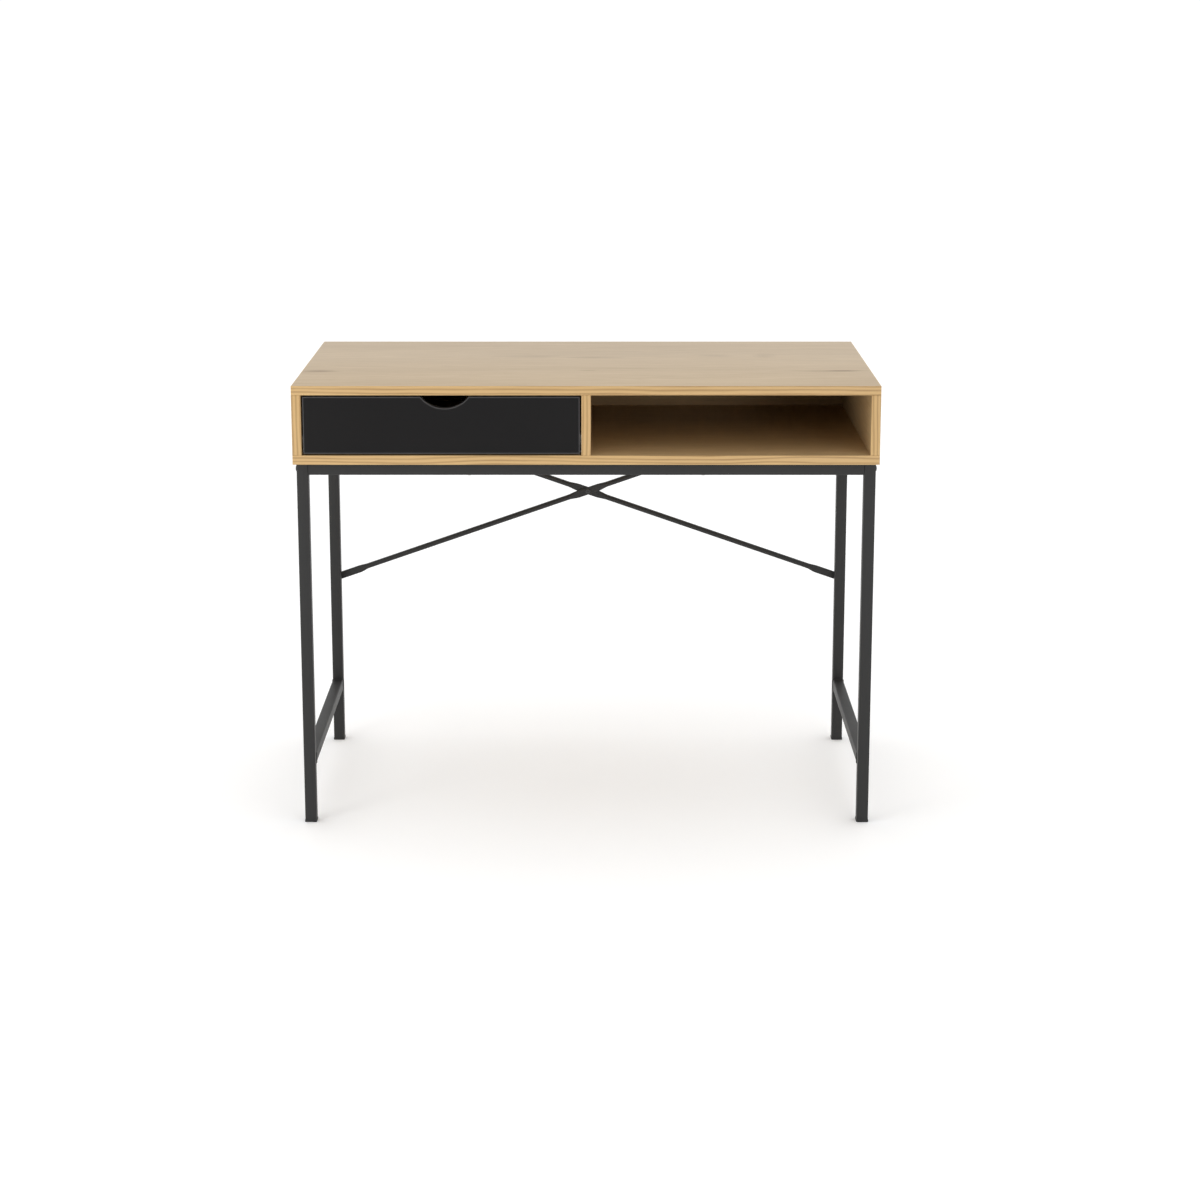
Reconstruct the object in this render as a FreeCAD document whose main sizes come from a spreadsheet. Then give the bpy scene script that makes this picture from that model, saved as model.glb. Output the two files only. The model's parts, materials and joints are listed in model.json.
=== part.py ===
import FreeCAD, Part
import math
import os

import Sketcher

# Writing desk: a laminated board box with one drawer and one open compartment, standing on
# a bolted frame of square steel tube with a crossed rod brace at the back.
# Frame: +X to the right, -Y to the front, +Z up, origin on the floor under the middle.

SIZES = {
    "top_width": 1000,
    "top_depth": 500,
    "desk_height": 780,
    "board": 16,
    "inner_height": 104,
    "side_inset": 5,
    "end_inset": 10,
    "tube": 20,
    "tube_wall": 1.5,
    "tube_corner": 2,
    "stretcher_level": 102,
    "foot_flange": 4,
    "foot_overhang": 0.7,
    "foot_plug": 12,
    "front_gap": 3,
    "front_recess": 2,
    "notch_radius": 52,
    "notch_depth": 20,
    "notch_offset": 6,
    "drawer_board": 12,
    "drawer_length": 400,
    "drawer_side_height": 70,
    "drawer_bottom_thick": 3,
    "groove_depth": 6,
    "runner_space": 12.5,
    "runner_steel": 1.2,
    "runner_width": 9.5,
    "runner_height": 30,
    "runner_lift": 2,
    "drawer_travel": 300,
    "front_roller_radius": 10,
    "rear_roller_radius": 9,
    "roller_width": 7,
    "roller_bore": 2.58,
    "pin_radius": 2.5,
    "rod_radius": 5,
    "rod_flat_width": 14,
    "rod_flat_thick": 3,
    "brace_low": 322,
    "brace_top_x": 407,
    "cam_radius": 7.5,
    "cam_depth": 12.5,
    "cam_drop": 24,
}

# Heights and places worked out from the sheet, as expressions.
FRAME_TOP = "(sizes.desk_height - 2 * sizes.board - sizes.inner_height)"
FLOOR_LEVEL = f"({FRAME_TOP} + sizes.board)"
CEILING = "(sizes.desk_height - sizes.board)"
HALF_WIDTH = "(sizes.top_width / 2)"
HALF_DEPTH = "(sizes.top_depth / 2)"
FRAME_SIDE = f"({HALF_WIDTH} - sizes.side_inset)"
FRAME_END = f"({HALF_DEPTH} - sizes.end_inset)"
TUBE_X = f"({FRAME_SIDE} - sizes.tube / 2)"
TUBE_Y = f"({FRAME_END} - sizes.tube / 2)"
RAIL_LEVEL = f"({FRAME_TOP} - sizes.tube / 2)"
SIDE_FACE = f"({HALF_WIDTH} - sizes.board)"
SIDE_MIDDLE = f"({HALF_WIDTH} - sizes.board / 2)"
DRAWER_MIDDLE = f"(-({SIDE_FACE} + sizes.board / 2) / 2)"
FRONT_BACK = f"(-{HALF_DEPTH} + sizes.front_recess + sizes.board)"
DRAWER_SIDE_X = f"(-{SIDE_FACE} + sizes.runner_space)"
DRAWER_BASE = f"({FLOOR_LEVEL} + 14)"
DRAWER_BOTTOM = f"({DRAWER_BASE} + 6)"
DRAWER_END = f"({FRONT_BACK} + sizes.drawer_length)"
RUNNER_START = f"({FRONT_BACK} + 2)"
RUNNER_BASE = f"({FLOOR_LEVEL} + sizes.runner_lift)"
RUNNER_TOP = f"({RUNNER_BASE} + sizes.runner_height)"
FRONT_ROLLER_Y = f"({RUNNER_START} + 12)"
FRONT_ROLLER_Z = f"({RUNNER_TOP} + 1 - sizes.front_roller_radius)"
REAR_ROLLER_Y = f"({RUNNER_START} + sizes.drawer_length - 10)"
REAR_ROLLER_Z = f"({RUNNER_BASE} + sizes.runner_steel + sizes.rear_roller_radius + 0.05)"
FLANGE_LEVEL = f"({RUNNER_TOP} + 1.05)"

# Axis and angle that turn a cylinder, upright as made, to run along +X, +Y or +Z.
AXES = {
    "X": (FreeCAD.Vector(0, 1, 0), 90),
    "Y": (FreeCAD.Vector(1, 0, 0), -90),
    "Z": (FreeCAD.Vector(0, 0, 1), 0),
}

# Bought fasteners: (head radius, head height), (shank radius, shank length).
CONFIRMAT = ((5, 3), (3.5, 47))
FRAME_SCREW = ((4, 2), (2, 32))
RAIL_BOLT = ((5, 2), (3, 36))
BACK_SCREW = ((3.5, 2), (2, 38))
BOTTOM_SCREW = ((3.5, 1.5), (1.75, 16))
CARRIER_SCREW = ((3, 0.9), (1.5, 11))
CABINET_SCREW = ((3.3, 1), (1.75, 13))
BRACE_BOLT_HEAD = (4.75, 2.8)
CENTRE_BOLT_HEAD = (4.75, 2.5)
BRACE_SHANK_RADIUS = 2.5
RIVET_NUT = (3.5, 10)
CENTRE_NUT = (4.6, 2.5)
INSERT_LENGTH = 18

# Dowels: radius, length and how far each goes into the board below or behind its joint.
DOWEL_RADIUS = 4
DOWEL_LENGTH = 30
DOWEL_SHORT_SIDE = 12
DRAWER_DOWEL = (3, 28)
DRAWER_DOWEL_DEPTH = 10

# Rows of fasteners, from the middle of the desk or from the base of the drawer.
UPRIGHT_DOWEL_Y = (-150, 150)
BACK_DOWEL_X = (-360, -120, 120, 360)
CAM_ROWS = (-210, 190)
SIDE_SCREW_Y = (-120, 120)
RAIL_SCREW_X = (-200, 200)
DRAWER_DOWEL_LIFTS = (16, 56)
BACK_SCREW_LIFTS = (30, 56)
BOTTOM_SCREW_X = 107
RUNNER_SCREW_ROWS = (38, 198, 358)

# Cam bolts: shank and thread as (radius, length).
CAM_SHANK = (3, 20)
CAM_THREAD = (3.5, 11)
DRAWER_CAM_SHANK = (2, 20)
DRAWER_CAM_THREAD = (2.5, 10)
DRAWER_CAM = (6, 10)

doc = FreeCAD.newDocument("writing_desk")
nodes = []


def make_sheet():
    """Driving dimensions in millimetres, one alias a row."""
    sheet = doc.addObject("Spreadsheet::Sheet", "sizes")
    for row, (alias, value) in enumerate(SIZES.items(), start=1):
        sheet.set(f"A{row}", str(value))
        sheet.setAlias(f"A{row}", alias)
    doc.recompute()


def new(kind, label):
    """A document object with its own label."""
    item = doc.addObject(kind, label)
    item.Label = label
    return item


def place(item, corner):
    """Bind the three coordinates of an object's placement."""
    for axis, expression in zip("xyz", corner):
        item.setExpression(f"Placement.Base.{axis}", str(expression))


def keep(item):
    """Mark an object as a finished sub-part."""
    nodes.append(item)
    return item


def box(label, corner, size):
    """Rectangular block from its lowest corner."""
    block = new("Part::Box", label)
    for prop, expression in zip(("Length", "Width", "Height"), size):
        block.setExpression(prop, str(expression))
    place(block, corner)
    return block


def rod(label, start, along, radius, length):
    """Round bar that starts at a point and runs along +X, +Y or +Z."""
    bar = new("Part::Cylinder", label)
    axis, angle = AXES[along]
    bar.Placement = FreeCAD.Placement(FreeCAD.Vector(), FreeCAD.Rotation(axis, angle))
    bar.setExpression("Radius", str(radius))
    bar.setExpression("Height", str(length))
    place(bar, start)
    return bar


def fuse(label, pieces):
    """One solid out of overlapping or touching pieces."""
    joined = new("Part::MultiFuse", label)
    joined.Shapes = pieces
    joined.Refine = True
    return joined


def group(label, pieces):
    """Identical fasteners as separate solids in one sub-part."""
    bundle = new("Part::Compound", label)
    bundle.Links = pieces
    return bundle


def drilled(label, blank, tools):
    """The blank with the places of the tools taken out of it."""
    for count, tool in enumerate(tools, start=1):
        last = count == len(tools)
        cut = new("Part::Cut", label if last else f"{label}_cut_{count}")
        cut.Base = blank
        cut.Tool = tool
        blank = cut
    return blank


def mirrored(label, source, plane_x="0"):
    """The source seen in a plane across X."""
    image = new("Part::Mirroring", label)
    image.Source = source
    image.Normal = FreeCAD.Vector(1, 0, 0)
    image.setExpression("Base.x", plane_x)
    return image


def both_sides(label, source, plane_x="0"):
    """A group of the source and its mirror image."""
    return group(label, [source, mirrored(f"{label}_image", source, plane_x)])


def headed(label, head_face, along, head, shank):
    """Screw or bolt: a head on a face and a shank that runs on along the same axis."""
    head_radius, head_height = head
    shank_radius, shank_length = shank
    top = list(head_face)
    axis = "XYZ".index(along)
    top[axis] = f"({head_face[axis]} - {head_height})"
    cap = rod(f"{label}_head", top, along, head_radius, head_height)
    pin = rod(f"{label}_shank", head_face, along, shank_radius, shank_length)
    return fuse(label, [cap, pin])


# ---- Square tube ----------------------------------------------------------------------------


def origin_plane(body, role):
    """The body's own origin plane with this role."""
    return next(item for item in body.Origin.OriginFeatures if item.Role == role)


def square(sketch, name, offset, side):
    """Closed square with its corner at (offset, offset), bound to expressions."""
    first = sketch.GeometryCount
    corners = [FreeCAD.Vector(x, y, 0) for x, y in ((1, 1), (9, 1), (9, 9), (1, 9))]
    for index in range(4):
        sketch.addGeometry(Part.LineSegment(corners[index], corners[(index + 1) % 4]), False)
    for index in range(4):
        after = first + (index + 1) % 4
        sketch.addConstraint(Sketcher.Constraint("Coincident", first + index, 2, after, 1))
    for index, direction in enumerate(("Horizontal", "Vertical", "Horizontal", "Vertical")):
        sketch.addConstraint(Sketcher.Constraint(direction, first + index))
    spans = (
        ("DistanceX", (first, 1, first, 2), side),
        ("DistanceY", (first + 1, 1, first + 1, 2), side),
        ("DistanceX", (-1, 1, first, 1), offset),
        ("DistanceY", (-1, 1, first, 1), offset),
    )
    for count, (kind, ends, expression) in enumerate(spans):
        at = sketch.addConstraint(Sketcher.Constraint(kind, *ends, 1.0))
        sketch.renameConstraint(at, f"{name}{count}")
        sketch.setExpression(f"Constraints.{name}{count}", str(expression))


def padded(body, role, name, squares, length, reverse=False):
    """Pad of concentric squares drawn on one of the body's origin planes."""
    sketch = body.newObject("Sketcher::SketchObject", f"{name}_sketch")
    sketch.AttachmentSupport = [(origin_plane(body, role), "")]
    sketch.MapMode = "FlatFace"
    for index, (offset, side) in enumerate(squares):
        square(sketch, f"ring{index}_", offset, side)
    pad = body.newObject("PartDesign::Pad", f"{name}_pad")
    pad.Profile = sketch
    pad.Reversed = reverse
    pad.setExpression("Length", length)
    doc.recompute()
    return pad


def outer_long_edges(shape, along, side):
    """Names of the long edges on the four outer corners of a square section."""
    axis = "XYZ".index(along)
    across = [index for index in range(3) if index != axis]
    names = []
    for number, edge in enumerate(shape.Edges, start=1):
        first, last = edge.Vertexes[0].Point, edge.Vertexes[-1].Point
        runs_along = abs(first[axis] - last[axis]) > side
        on_corner = all(min(abs(first[i]), abs(first[i] - side)) < 0.01 for i in across)
        if runs_along and on_corner:
            names.append(f"Edge{number}")
    return names


def tube(label, along, corner, length):
    """Square steel tube with rounded outer corners."""
    body = new("PartDesign::Body", label)
    role = {"X": "YZ_Plane", "Y": "XZ_Plane", "Z": "XY_Plane"}[along]
    squares = (("0", "sizes.tube"), ("sizes.tube_wall", "sizes.tube - 2 * sizes.tube_wall"))
    pad = padded(body, role, label, squares, length, reverse=along == "Y")
    rounding = body.newObject("PartDesign::Fillet", f"{label}_corners")
    rounding.Base = (pad, outer_long_edges(pad.Shape, along, SIZES["tube"]))
    rounding.setExpression("Radius", "sizes.tube_corner")
    place(body, corner)
    return body


# ---- Board box ------------------------------------------------------------------------------


def wood_dowels():
    """Plain 8 x 30 dowels in the upper and lower joints of the uprights and the back."""
    spots = [(x, y) for x in (f"-{SIDE_MIDDLE}", "0", SIDE_MIDDLE) for y in UPRIGHT_DOWEL_Y]
    spots += [(x, f"{HALF_DEPTH} - sizes.board / 2") for x in BACK_DOWEL_X]
    low_start = f"{FLOOR_LEVEL} - {DOWEL_SHORT_SIDE}"
    high_start = f"{CEILING} - {DOWEL_LENGTH - DOWEL_SHORT_SIDE}"
    starts = ((low_start, "low"), (high_start, "high"))
    pins = []
    for level, tag in starts:
        for number, (x, y) in enumerate(spots):
            pins.append(rod(f"dowel_{tag}_{number}", (x, y, level), "Z", DOWEL_RADIUS, DOWEL_LENGTH))
    return group("wood_dowels", pins)


def cam_bolts():
    """Cam bolts screwed up into the underside of the top board."""
    bolts = []
    for place_x in (f"-{SIDE_MIDDLE}", "0", SIDE_MIDDLE):
        for y in CAM_ROWS:
            name = f"cam_bolt_{len(bolts)}"
            start = (place_x, y, f"{CEILING} - {CAM_SHANK[1]}")
            shank = rod(f"{name}_shank", start, "Z", *CAM_SHANK)
            thread = rod(f"{name}_thread", (place_x, y, CEILING), "Z", *CAM_THREAD)
            bolts.append(fuse(name, [shank, thread]))
    return group("cam_bolts", bolts)


def cam_locks(bolts):
    """Round cam locks let into the inner faces of the uprights."""
    starts = (f"-{SIDE_FACE} - sizes.cam_depth", "-sizes.board / 2", SIDE_FACE)
    discs = []
    for start in starts:
        for y in CAM_ROWS:
            spot = (start, y, f"{CEILING} - sizes.cam_drop")
            discs.append(rod(f"cam_{len(discs)}", spot, "X", "sizes.cam_radius", "sizes.cam_depth"))
    return drilled("cam_locks", group("cam_lock_blanks", discs), [bolts])


def confirmat_screws():
    """Long board screws driven up through the bottom board into the uprights."""
    screws = []
    for x in (f"-{SIDE_MIDDLE}", "0", SIDE_MIDDLE):
        for y in CAM_ROWS:
            face = (x, y, f"{FRAME_TOP} + {CONFIRMAT[0][1]}")
            screws.append(headed(f"confirmat_{len(screws)}", face, "Z", *CONFIRMAT))
    return group("confirmat_screws", screws)


def board_box(frame_screws, runner_screws):
    """Top, bottom, uprights and back with the fasteners that hold them."""
    dowels = keep(wood_dowels())
    bolts = keep(cam_bolts())
    cams = keep(cam_locks(bolts))
    screws = keep(confirmat_screws())
    corner = (f"-{HALF_WIDTH}", f"-{HALF_DEPTH}")
    full = ("sizes.top_width", "sizes.top_depth", "sizes.board")
    upright = ("sizes.board", "sizes.top_depth", "sizes.inner_height")

    top = box("top_blank", (*corner, CEILING), full)
    keep(drilled("top_panel", top, [dowels, bolts]))

    bottom = box("bottom_blank", (*corner, FRAME_TOP), full)
    keep(drilled("bottom_panel", bottom, [dowels, screws, frame_screws]))

    in_uprights = [dowels, bolts, cams, screws]
    left = box("left_blank", (*corner, FLOOR_LEVEL), upright)
    keep(drilled("left_side_panel", left, [*in_uprights, runner_screws]))
    right = box("right_blank", (SIDE_FACE, f"-{HALF_DEPTH}", FLOOR_LEVEL), upright)
    keep(drilled("right_side_panel", right, in_uprights))

    divider_size = ("sizes.board", "sizes.top_depth - sizes.board", "sizes.inner_height")
    divider = box("divider_blank", ("-sizes.board / 2", f"-{HALF_DEPTH}", FLOOR_LEVEL), divider_size)
    keep(drilled("divider_panel", divider, [*in_uprights, runner_screws]))

    back_size = ("sizes.top_width - 2 * sizes.board", "sizes.board", "sizes.inner_height")
    back = box("back_blank", (f"-{SIDE_FACE}", f"{HALF_DEPTH} - sizes.board", FLOOR_LEVEL), back_size)
    keep(drilled("back_panel", back, [dowels]))


# ---- Steel frame ----------------------------------------------------------------------------


def make_frame_screws():
    """Pan head screws that go up through the top rails into the bottom board."""
    spots = [(f"{side}{TUBE_X}", y) for side in ("-", "") for y in SIDE_SCREW_Y]
    spots += [(x, f"{end}{TUBE_Y}") for end in ("-", "") for x in RAIL_SCREW_X]
    screws = []
    for x, y in spots:
        face = (x, y, f"{FRAME_TOP} - sizes.tube")
        screws.append(headed(f"frame_screw_{len(screws)}", face, "Z", *FRAME_SCREW))
    return group("frame_screws", screws)


def rail_bolts():
    """Button head bolts through the leg tops into the ends of the front and rear rails."""
    left = []
    for end, y in (("front", f"-{TUBE_Y}"), ("rear", TUBE_Y)):
        left.append(headed(f"rail_bolt_{end}", (f"-{FRAME_SIDE}", y, RAIL_LEVEL), "X", *RAIL_BOLT))
    return both_sides("rail_bolts", group("left_rail_bolts", left))


def rail_inserts(bolts):
    """Threaded blocks pressed into the ends of the front and rear rails."""
    inner = "sizes.tube - 2 * sizes.tube_wall"
    left = []
    for end, y in (("front", f"-{TUBE_Y}"), ("rear", TUBE_Y)):
        corner = (f"-{FRAME_SIDE} + sizes.tube", f"{y} - ({inner}) / 2", f"{RAIL_LEVEL} - ({inner}) / 2")
        left.append(box(f"rail_insert_{end}", corner, (INSERT_LENGTH, inner, inner)))
    blanks = both_sides("rail_insert_blanks", group("left_rail_inserts", left))
    return drilled("rail_inserts", blanks, [bolts])


def leg(label, corner_y, tools):
    """Left-hand upright tube, drilled for its bolts."""
    corner = (f"-{FRAME_SIDE}", corner_y, "sizes.foot_flange")
    blank = tube(f"{label}_tube", "Z", corner, f"{FRAME_TOP} - sizes.foot_flange")
    return drilled(label, blank, tools)


def foot_cap(label, corner_y):
    """Plastic glide: a flange under the leg and a plug inside it."""
    flange_side = "(sizes.tube + 2 * sizes.foot_overhang)"
    body = new("PartDesign::Body", label)
    padded(body, "XY_Plane", f"{label}_flange", (("0", flange_side),), "sizes.foot_flange")
    inset = "sizes.foot_overhang + sizes.tube_wall"
    plug_side = "sizes.tube - 2 * sizes.tube_wall"
    plug_height = "sizes.foot_flange + sizes.foot_plug"
    padded(body, "XY_Plane", f"{label}_plug", ((inset, plug_side),), plug_height)
    place(body, (f"-{FRAME_SIDE} - sizes.foot_overhang", f"{corner_y} - sizes.foot_overhang", 0))
    return body


def steel_frame(frame_screws, brace_bolts, rivet_nuts):
    """Two welded side frames joined by the bolted front and rear rails."""
    bolts = keep(rail_bolts())
    keep(rail_inserts(bolts))
    front_y = f"-{FRAME_END}"
    rear_y = f"{FRAME_END} - sizes.tube"
    for end, corner_y in (("front", front_y), ("rear", rear_y)):
        left = keep(leg(f"{end}_left_leg", corner_y, [bolts, rivet_nuts, brace_bolts]))
        keep(mirrored(f"{end}_right_leg", left))
        cap = keep(foot_cap(f"{end}_left_foot_cap", corner_y))
        keep(mirrored(f"{end}_right_foot_cap", cap))

    span_y = f"2 * {FRAME_END} - 2 * sizes.tube"
    rail_base = f"{FRAME_TOP} - sizes.tube"
    for name, level in (("side_rail", rail_base), ("stretcher", "sizes.stretcher_level")):
        start = (f"-{FRAME_SIDE}", f"-{FRAME_END} + sizes.tube", level)
        blank = tube(f"left_{name}_tube", "Y", start, span_y)
        left = keep(drilled(f"left_{name}", blank, [frame_screws]))
        keep(mirrored(f"right_{name}", left))

    span_x = f"2 * {FRAME_SIDE} - 2 * sizes.tube"
    for name, corner_y in (("front_rail", front_y), ("rear_rail", rear_y)):
        start = (f"-{FRAME_SIDE} + sizes.tube", corner_y, rail_base)
        blank = tube(f"{name}_tube", "X", start, span_x)
        keep(drilled(name, blank, [frame_screws, rivet_nuts, brace_bolts]))


# ---- Crossed brace --------------------------------------------------------------------------

# Flat stretches of a rod, measured from an eye's centre and from the crossing.
END_FLAT = 56
MIDDLE_FLAT = 30
FLAT_LAP = 4
# How far the flats stand off the plane of the frame's rear faces at the crossing.
CROSSING_GAP = 0.5
# How far the round stretches reach forward of that plane, so they stay within the top's depth.
ROD_SINK = 0.5


def brace_angle():
    """Slope of a brace rod, from its lower eye on a leg to its upper eye on the rear rail."""
    rail_level = SIZES["desk_height"] - 2 * SIZES["board"] - SIZES["inner_height"] - SIZES["tube"] / 2
    leg_x = SIZES["top_width"] / 2 - SIZES["side_inset"] - SIZES["tube"] / 2
    return math.atan2(rail_level - SIZES["brace_low"], leg_x + SIZES["brace_top_x"])


def brace_fasteners():
    """Bolts in the four rod eyes and the rivet nuts that take them in the tube walls."""
    spots = ((f"-{TUBE_X}", "sizes.brace_low"), ("-sizes.brace_top_x", RAIL_LEVEL))
    bolts = []
    nuts = []
    for x, z in spots:
        name = f"brace_bolt_{len(bolts)}"
        start = (x, f"{FRAME_END} - {RIVET_NUT[1]}", z)
        length = f"{RIVET_NUT[1]} + sizes.rod_flat_thick"
        shank = rod(f"{name}_shank", start, "Y", BRACE_SHANK_RADIUS, length)
        head_start = (x, f"{FRAME_END} + sizes.rod_flat_thick", z)
        head = rod(f"{name}_head", head_start, "Y", *BRACE_BOLT_HEAD)
        bolts.append(fuse(name, [shank, head]))
        nuts.append(rod(f"rivet_nut_{len(nuts)}", start, "Y", *RIVET_NUT))
    bolts = both_sides("brace_bolts", group("left_brace_bolts", bolts))
    blanks = both_sides("rivet_nut_blanks", group("left_rivet_nuts", nuts))
    return bolts, drilled("rivet_nuts", blanks, [bolts])


def rod_flat(label, start, finish, layer, round_ends):
    """Pressed flat stretch of a rod, with a round eye at a free end."""
    half_width = "sizes.rod_flat_width / 2"
    thick = "sizes.rod_flat_thick"
    size = (finish - start, thick, "sizes.rod_flat_width")
    pieces = [box(f"{label}_bar", (start, layer, f"-{half_width}"), size)]
    for number, at in enumerate(round_ends):
        pieces.append(rod(f"{label}_eye_{number}", (at, layer, 0), "Y", half_width, thick))
    return pieces


def brace_rod(label, middle_layer):
    """Round rod with flat eyes, lying along local X and turned about the crossing."""
    angle = brace_angle()
    leg_x = SIZES["top_width"] / 2 - SIZES["side_inset"] - SIZES["tube"] / 2
    low = -leg_x / math.cos(angle)
    high = SIZES["brace_top_x"] / math.cos(angle)
    pieces = rod_flat(f"{label}_low", low, low + END_FLAT + FLAT_LAP, "0", (low,))
    half_middle = MIDDLE_FLAT + FLAT_LAP
    pieces += rod_flat(f"{label}_middle", -half_middle, half_middle, middle_layer, ())
    pieces += rod_flat(f"{label}_high", high - END_FLAT - FLAT_LAP, high, "0", (high,))
    spans = (("a", low + END_FLAT, -MIDDLE_FLAT), ("b", MIDDLE_FLAT, high - END_FLAT))
    for side, start, finish in spans:
        axis = (start, f"sizes.rod_radius - {ROD_SINK}", 0)
        pieces.append(rod(f"{label}_bar_{side}", axis, "X", "sizes.rod_radius", finish - start))
    blank = fuse(f"{label}_blank", pieces)
    turn = FreeCAD.Rotation(FreeCAD.Vector(0, 1, 0), -math.degrees(angle))
    crossing = SIZES["brace_low"] + leg_x * math.tan(angle)
    blank.Placement = FreeCAD.Placement(FreeCAD.Vector(0, 0, crossing), turn)
    blank.setExpression("Placement.Base.y", FRAME_END)
    return blank, crossing


def crossed_brace(bolts):
    """Two rods crossed behind the legs, held together by a bolt and nut."""
    back, crossing = brace_rod("falling_rod", f"{CROSSING_GAP} + sizes.rod_flat_thick")
    front, _ = brace_rod("rising_rod", f"{CROSSING_GAP}")
    face = (0, f"{FRAME_END} + {CROSSING_GAP}", crossing)
    nut_radius, nut_height = CENTRE_NUT
    shank = (BRACE_SHANK_RADIUS, f"2 * sizes.rod_flat_thick + {nut_height} + 0.3")
    centre = keep(headed("brace_centre_bolt", face, "Y", CENTRE_BOLT_HEAD, shank))
    nut_start = (0, f"{face[1]} + 2 * sizes.rod_flat_thick", crossing)
    nut = new("Part::Prism", "brace_nut_blank")
    nut.Polygon = 6
    nut.Circumradius = nut_radius
    nut.Height = nut_height
    nut.Placement = FreeCAD.Placement(FreeCAD.Vector(), FreeCAD.Rotation(*AXES["Y"]))
    place(nut, nut_start)
    keep(drilled("brace_centre_nut", nut, [centre]))
    keep(drilled("brace_rising_rod", front, [bolts, centre]))
    keep(drilled("brace_falling_rod", mirrored("falling_rod_image", back), [bolts, centre]))


# ---- Drawer ---------------------------------------------------------------------------------


def drawer_fasteners():
    """Fasteners of the left half of the drawer box, each paired across its middle."""
    side_middle = f"{DRAWER_SIDE_X} + sizes.drawer_board / 2"
    inner_face = f"{DRAWER_SIDE_X} + sizes.drawer_board"
    cam_level = f"{DRAWER_BASE} + sizes.drawer_side_height / 2"
    thread_start = (side_middle, f"{FRONT_BACK} - {DRAWER_CAM_THREAD[1]}", cam_level)
    thread = rod("drawer_bolt_thread", thread_start, "Y", *DRAWER_CAM_THREAD)
    shank = rod("drawer_bolt_shank", (side_middle, FRONT_BACK, cam_level), "Y", *DRAWER_CAM_SHANK)
    bolts = both_sides("drawer_cam_bolts", fuse("left_drawer_bolt", [thread, shank]), DRAWER_MIDDLE)

    spot = (f"{inner_face} - {DRAWER_CAM[1]}", f"{FRONT_BACK} + sizes.cam_drop", cam_level)
    left_cam = rod("left_drawer_cam", spot, "X", *DRAWER_CAM)
    cam_pair = both_sides("drawer_cam_blanks", left_cam, DRAWER_MIDDLE)
    cams = drilled("drawer_cam_locks", cam_pair, [bolts])

    dowel_rows = []
    for lift in DRAWER_DOWEL_LIFTS:
        start = (side_middle, f"{FRONT_BACK} - {DRAWER_DOWEL_DEPTH}", f"{DRAWER_BASE} + {lift}")
        dowel_rows.append(rod(f"drawer_dowel_{lift}", start, "Y", *DRAWER_DOWEL))
    dowels = both_sides("drawer_dowels", group("left_drawer_dowels", dowel_rows), DRAWER_MIDDLE)

    back_middle = f"{DRAWER_END} - sizes.drawer_board / 2"
    back_rows = []
    for lift in BACK_SCREW_LIFTS:
        face = (f"{DRAWER_SIDE_X} + {BACK_SCREW[0][1]}", back_middle, f"{DRAWER_BASE} + {lift}")
        back_rows.append(headed(f"back_screw_{lift}", face, "X", *BACK_SCREW))
    screws = both_sides("drawer_back_screws", group("left_back_screws", back_rows), DRAWER_MIDDLE)
    return bolts, cams, dowels, screws


def bottom_screws():
    """Small screws up through the bottom sheet into the drawer back."""
    level = DRAWER_BOTTOM
    y = f"{DRAWER_END} - sizes.drawer_board / 2"
    face = (f"{DRAWER_MIDDLE} - {BOTTOM_SCREW_X}", y, level)
    screw = headed("left_bottom_screw", face, "Z", *BOTTOM_SCREW)
    return both_sides("drawer_bottom_screws", screw, DRAWER_MIDDLE)


def drawer_front(tools):
    """Inset front with a half-moon finger notch in its upper edge."""
    left = f"-{SIDE_FACE} + sizes.front_gap"
    height = "sizes.inner_height - 2 * sizes.front_gap"
    width = f"{SIDE_FACE} - sizes.board / 2 - 2 * sizes.front_gap"
    front_y = f"-{HALF_DEPTH} + sizes.front_recess"
    base = f"{FLOOR_LEVEL} + sizes.front_gap"
    blank = box("front_blank", (left, front_y, base), (width, "sizes.board", height))
    centre_z = f"{base} + {height} - sizes.notch_depth + sizes.notch_radius"
    centre = (f"{DRAWER_MIDDLE} + sizes.notch_offset", f"{front_y} - 5", centre_z)
    notch = rod("notch_cutter", centre, "Y", "sizes.notch_radius", "sizes.board + 10")
    return drilled("drawer_front", blank, [notch, *tools])


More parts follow.
